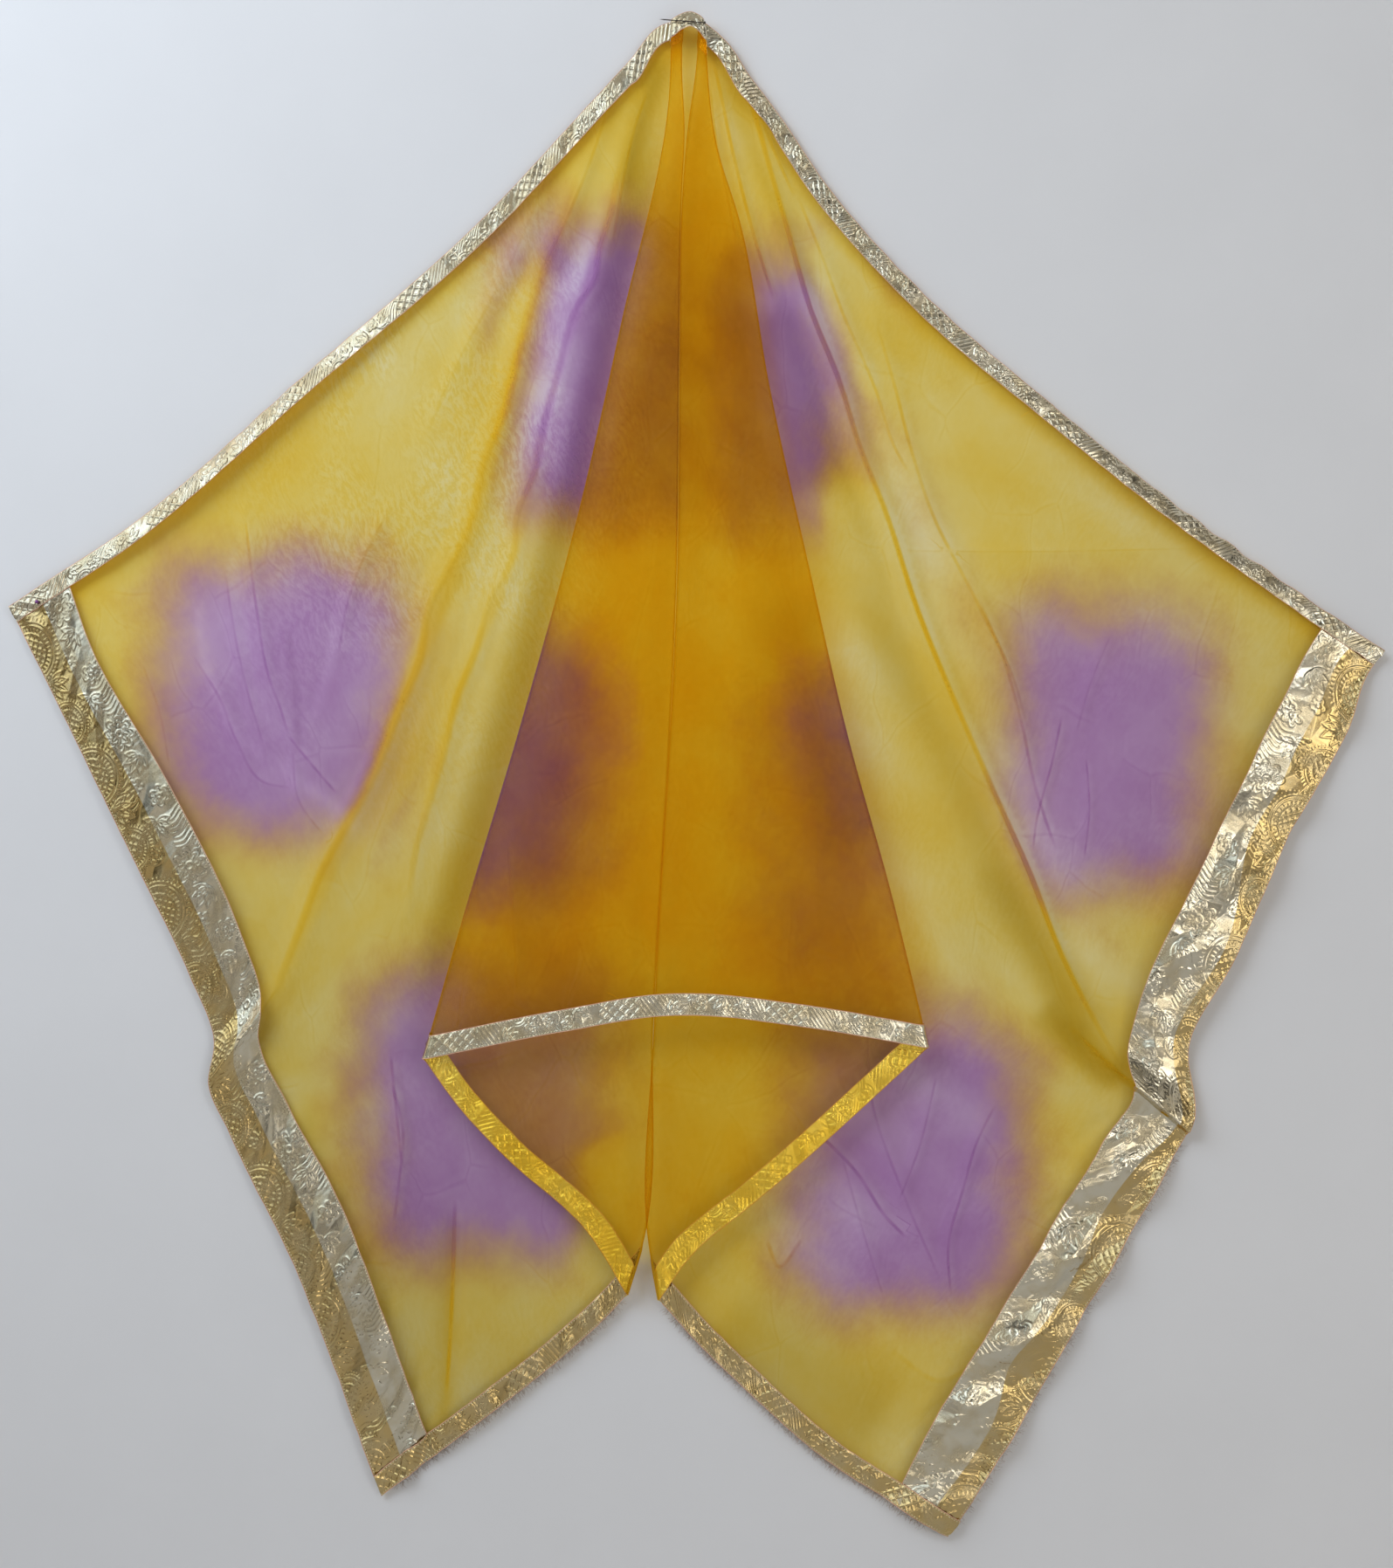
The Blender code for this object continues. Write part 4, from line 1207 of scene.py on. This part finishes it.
def narrow_pattern(p, q):
    """Height (0 to 1) at p mm along the edge and q mm in from it."""
    height, free = np.zeros_like(p), np.ones(p.shape, dtype=bool)
    phase = p % NARROW_REPEAT
    free = lay(height, free, (lattice(phase, q - 12.5, 8.3), phase < 46))
    slant = pressed(from_nearest((phase + 0.7 * q) / 5.2, 5.2))
    free = lay(height, free, (slant, (phase > 49) & (phase < 74)))
    for k in range(-1, int(p.max() / NARROW_REPEAT) + 2):
        for figure, dp, dq, *sizes in NARROW_FIGURES:
            if figure is daisy:
                sizes[-1] *= k
            free = lay(height, free, figure(p - k * NARROW_REPEAT - dp, q - dq, *sizes))
    filler = ribs(p + 0.8 * q, q, 4.4, 2.0) * (np.sin(p / 17.0) > 0.1)
    return np.where(free, 0.6 * filler, height)


print("figures in a repeat:", len(WIDE_FIGURES), "wide,", len(NARROW_FIGURES), "narrow")

# %% [markdown]
# ## The four ribbons
# Each ribbon is a strip of the same folded surface as the cloth, raised off its face by less
# than a millimetre and with a much finer grid, under a millimetre, which is what the
# embossing needs. The narrow ribbons are sewn on last, so they step up over the wide ones.
# They turn at the loose corners of the pleat, where the side that shows changes from gold to
# silver.

# %% Sizes of the ribbons
WIDE_PITCH = 0.00095     # size of a face of the ribbons' grids
NARROW_PITCH = 0.00080
RAISED = 0.0006          # middle of a ribbon, in front of the cloth's surface
WIDE_EMBOSS, NARROW_EMBOSS = 0.00060, 0.00090
STEP_RUN = 0.006         # length over which a narrow ribbon steps down off a wide one
BORDER = 0.002           # the embossing ends this near to a ribbon's edges
SILVER_ONLY = -0.1       # a gold share below 0 leaves the whole width silver

# for each edge: distance along it, and distance in from it
EDGES = {
    "top": lambda s, t: (s, t),
    "bottom": lambda s, t: (s, CLOTH_WIDTH - t),
    "left": lambda s, t: (t, s),
    "right": lambda s, t: (t, CLOTH_LENGTH - s),
}


def in_front(p):
    """1 along the stretch of the bottom edge that lies in front, over the folded corners."""
    return ease((p - LINES["left_front_fold"].low_s + 0.02) / 0.01) * ease(
        (LINES["right_front_fold"].low_s + 0.02 - p) / 0.01)


def buckle(edge, p):
    """Height of a narrow ribbon's buckles: it is tauter on the left flap and in front."""
    if edge == "top":
        return 0.0004 + 0.0009 * ease((p - LINES["left_front_fold"].top_s) / 0.05)
    return 0.0012 - 0.0004 * in_front(p)


print("front stretch of the bottom edge:", in_front(np.array([0.3, 1.0, 1.8])))


# %% One ribbon
def ribbon(name, edge, panels, marks, gold_share, crinkle):
    """A foil ribbon along one edge of the cloth; gold_share gives the outer part's width."""
    middle = marks[len(marks) // 2]
    pitch = marks[1] - marks[0]

    def columns_of(panel):
        span = flat_s(panel.right, middle) - flat_s(panel.left, middle)
        return max(4, round(span / pitch))

    points, s, t, _ = grid_rows(panels, marks, columns_of)
    p, q = EDGES[edge](s, t)
    narrow = edge in ("top", "bottom")
    width, pattern, emboss = ((NARROW_RIBBON, narrow_pattern, NARROW_EMBOSS) if narrow
                              else (WIDE_RIBBON, wide_pattern, WIDE_EMBOSS))
    height = pattern(p * 1000, q * 1000) * ease(q / BORDER) * ease((width - q) / BORDER)
    raised = RAISED + emboss * height
    raised = raised + crinkle * waves(p, 0.5 * q, 0.016, count=7, seed=len(name), sharp=True)
    if narrow:
        facets = waves(p, 0.7 * q, 0.060, count=5, seed=len(name) + 1, sharp=True)
        from_end = np.minimum(s, CLOTH_LENGTH - s)
        raised = raised + buckle(edge, p) * (0.5 + facets)
        raised = raised + 1.4 * RAISED * ease((WIDE_RIBBON + STEP_RUN - from_end) / STEP_RUN)
    points = points + front_normals(points) * raised[..., None]
    foil = np.stack([q - gold_share(p) * width, np.minimum(q, width - q), height], -1)
    return grid_piece(name, points, np.stack([p, q], -1), {"foil": foil})


# %% Four ribbons
across_narrow = round(NARROW_RIBBON / NARROW_PITCH) + 1
top_marks = np.linspace(0, NARROW_RIBBON, across_narrow)
low_marks = np.linspace(CLOTH_WIDTH - NARROW_RIBBON, CLOTH_WIDTH, across_narrow)
end_marks = np.linspace(0, CLOTH_WIDTH, round(CLOTH_WIDTH / WIDE_PITCH) + 1)
ribbons = {
    "top_trim": ribbon("top_ribbon", "top", PANELS, top_marks,
                       lambda p: SILVER_ONLY, crinkle=0.00012),
    "bottom_trim": ribbon("bottom_ribbon", "bottom", PANELS, low_marks,
                          lambda p: 1.1 - 1.2 * in_front(p), crinkle=0.00010),
    "left_end_trim": ribbon("left_end_ribbon", "left", PANELS[:1], end_marks,
                            lambda p: 0.50, crinkle=0.00004),
    "right_end_trim": ribbon("right_end_ribbon", "right", PANELS[-1:], end_marks,
                             lambda p: 0.36 + 0.16 * np.sin(9 * p + np.sin(21 * p)),
                             crinkle=0.00004),
}
print("ribbons:", sorted(ribbons))

# %% [markdown]
# ## Frayed yarns
# The raw edge behind the lower ribbons has frayed into short brown hairs, and two yellow
# threads have come loose. Each is a thin curve, and together they are turned into one mesh.

# %% Hairs and loose threads
HAIR = 0.00010           # half the thickness of a hair
THREAD = 0.00022
HAIR_REACH = (0.003, 0.010)
HAIR_BEHIND = 0.0012     # hairs lie this far behind the cloth's surface


def hairs(panel, s_range, t_range, count, outward, seed):
    """Short bent hairs that stick out of an edge; no t_range is the bottom edge."""
    draw = np.random.default_rng(seed)
    s = draw.uniform(*s_range, count)
    t = draw.uniform(*t_range, count) if t_range else np.full(count, CLOTH_WIDTH)
    made = []
    for x, y, z in cloth_point(panel, s, t):
        reach = draw.uniform(*HAIR_REACH)
        turn = math.atan2(outward[1], outward[0]) + draw.normal(0, 0.7)
        bend = draw.normal(0, 0.5)
        made.append([(x + f * reach * math.cos(turn + f * bend), y + HAIR_BEHIND,
                      z + f * reach * math.sin(turn + f * bend)) for f in (0, 0.5, 1)])
    return made


def yarn_piece(name, strands, thick):
    curve = bpy.data.curves.new(name, "CURVE")
    curve.dimensions = "3D"
    curve.bevel_depth, curve.bevel_resolution = thick, 0
    for strand in strands:
        spline = curve.splines.new("POLY")
        spline.points.add(len(strand) - 1)
        for point, place in zip(spline.points, strand):
            point.co = (*place, 1)
    source = bpy.data.objects.new(name, curve)
    mesh = bpy.data.meshes.new_from_object(source)
    bpy.data.objects.remove(source)
    print(name, "faces:", len(mesh.polygons))
    return to_scene(name, mesh)


strands = hairs(PANELS[1], (0.02, 0.36), None, 700, (0.35, -1.0), 1)
strands += hairs(PANELS[5], (1.72, 2.12), None, 700, (-0.5, -1.0), 2)
strands += hairs(PANELS[6], (2.149, 2.1499), (0.6, 1.09), 420, (1.0, -0.35), 3)
frayed = yarn_piece("frayed_yarns", strands, HAIR)

loose = []
for depth, places in (
        (-0.030, mm(-90, -1106, -80, -1111, -70, -1118, -58, -1114, -49, -1121)),
        (-0.014, mm(380, -452, 391, -446, 398, -455, 407, -450))):
    route = along(places, np.linspace(0, 1, 13))
    loose.append([(x, depth - 0.001 * math.sin(5 * k), z) for k, (x, z) in enumerate(route)])
threads_off = yarn_piece("loose_threads", loose, THREAD)

# %% [markdown]
# ## Yarn, steel and glass
# The gather hangs on a dark steel pin that crosses the ribbon, and the left corner on a pin
# with a small ball of purple glass. The CAD pieces already have the right shape, so they only
# get their finishes. Spun yarn, drawn steel and bloomed glass all stray a little from one
# even colour and gloss, so one function gives each its own fine noise.

# %% Yarn and pin materials
Grain = namedtuple("Grain", "scale detail rough stretch", defaults=[2.0, 0.5, None])


def grained(name, grain, dark, light, levels, **sockets):
    """A finish whose colour and roughness follow one noise; levels go to its roughness."""
    made = new_material(name)
    n = Nodes(made)
    noise = n.noise(n.object_place(), *grain, kind="3D")
    n.finish(n.first("BsdfPrincipled", {
        "Base Color": n.mix(noise, (*dark, 1), (*light, 1)),
        "Roughness": n.step(noise, *levels),
        **{name.replace("_", " "): value for name, value in sockets.items()}}))
    return made


yarn_levels = (0.3, 0.7, 0.5, 0.8)
frayed.data.materials.append(grained(
    "Yarn of frayed_yarns", Grain(900.0), (0.16, 0.10, 0.08), (0.46, 0.33, 0.24), yarn_levels))
threads_off.data.materials.append(grained(
    "Yarn of loose_threads", Grain(900.0), (0.70, 0.38, 0.01), (0.95, 0.66, 0.05), yarn_levels))
pin_finishes = {
    "apex_pin": grained(
        "Blued steel", Grain(1.0, 3.0, 0.6, (120, 3000, 3000)), (0.035, 0.030, 0.030),
        (0.16, 0.13, 0.11), (0.3, 0.8, 0.22, 0.5), Metallic=0.9),
    "corner_pin": grained(
        "Purple glass", Grain(420.0, 3.0), (0.10, 0.02, 0.14), (0.30, 0.08, 0.36),
        (0.3, 0.8, 0.08, 0.3), Coat_Weight=0.6)}
for node, finish in pin_finishes.items():
    frame["nodes"][node].material_slots[0].material = finish
print("pin slots:", [len(frame["nodes"][k].material_slots) for k in pin_finishes])

# %% [markdown]
# ## Gold and silver foil
# Foil ribbon is plastic film with a metal skin, woven at its two edges into a thin coloured
# selvedge. The metal is one smooth mirror that shallow scratches blur. On the left end gold
# and silver meet in a straight line, on the creased right end in a wavy one, and a narrow
# ribbon shows one of them at a time. A row of machine stitches runs just inside each edge.
# From behind, the film is a pale gold that scatters more light.

# %% Foil material
GOLD = (0.66, 0.48, 0.20, 1)
SILVER = (0.78, 0.72, 0.56, 1)
TARNISH = (0.62, 0.50, 0.28, 1)
SELVEDGE = (0.72, 0.42, 0.28, 1)
STITCH = (0.86, 0.76, 0.50, 1)
BACKING = (1.0, 0.85, 0.38, 1)
STITCH_LENGTH = 0.0034
STITCH_LINE = 0.0021     # from the ribbon's edge
BACK_MATT = 0.22         # share of the back that isn't mirror

foil = new_material("Two-tone foil")
n = Nodes(foil)
flat = n.first("UVMap", uv_map="flat")
tone, edge, _ = n.split(n.attribute("foil", "Vector"))
cloudy = n.noise(flat, 34.0, 3.0)
grain = n.noise(flat, 1.0, 2.0, 0.6, (260, 2600, 1))
metal = n.mix(n.step(tone, -0.0006, 0.0006), GOLD, SILVER)
metal = n.mix(n.step(cloudy, 0.35, 0.70, 0.0, 0.60), metal, TARNISH)
selvedge = n.step(edge, 0.0011, 0.0006)
dashes = n.calc("SINE", n.times(n.split(flat)[0], math.tau / STITCH_LENGTH))
on_line = n.step(n.calc("ABSOLUTE", n.less(edge, STITCH_LINE)), 0.0006, 0.0002)
stitched = n.times(on_line, n.step(dashes, 0.1, 0.5))
wrong_side = n.add("NewGeometry").outputs["Backfacing"]
colour = n.mix(selvedge, n.mix(wrong_side, metal, BACKING), SELVEDGE)
colour = n.mix(stitched, colour, STITCH)
cloth_like = n.calc("MAXIMUM", n.calc("MAXIMUM", selvedge, stitched),
                    n.times(wrong_side, BACK_MATT))
rough = n.plus(n.step(cloudy, 0.3, 0.7, 0.12, 0.24), n.times(grain, 0.06))
height = n.times(grain, 0.12, plus=n.times(stitched, 0.8))
bump = n.first("Bump", {"Strength": 0.5, "Distance": 0.0005, "Height": height})
n.finish(n.first("BsdfPrincipled", {
    "Base Color": colour, "Metallic": n.less(1.0, cloth_like),
    "Roughness": n.times(cloth_like, 0.25, plus=rough), "Normal": bump}))
for piece in ribbons.values():
    piece.data.materials.append(foil)
print("foil nodes:", len(foil.node_tree.nodes))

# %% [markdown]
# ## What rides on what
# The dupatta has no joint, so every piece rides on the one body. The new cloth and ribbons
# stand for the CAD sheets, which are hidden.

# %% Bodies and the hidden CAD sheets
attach(cloth, "root")
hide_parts("organza_cloth")
for node, piece in ribbons.items():
    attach(piece, "root")
    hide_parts(node)
for piece in (frayed, threads_off):
    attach(piece, "root")
print("pieces on the body:", 3 + len(ribbons))

# %% [markdown]
# ## The size
# The looks must stay inside the CAD model's box but for a little cloth.
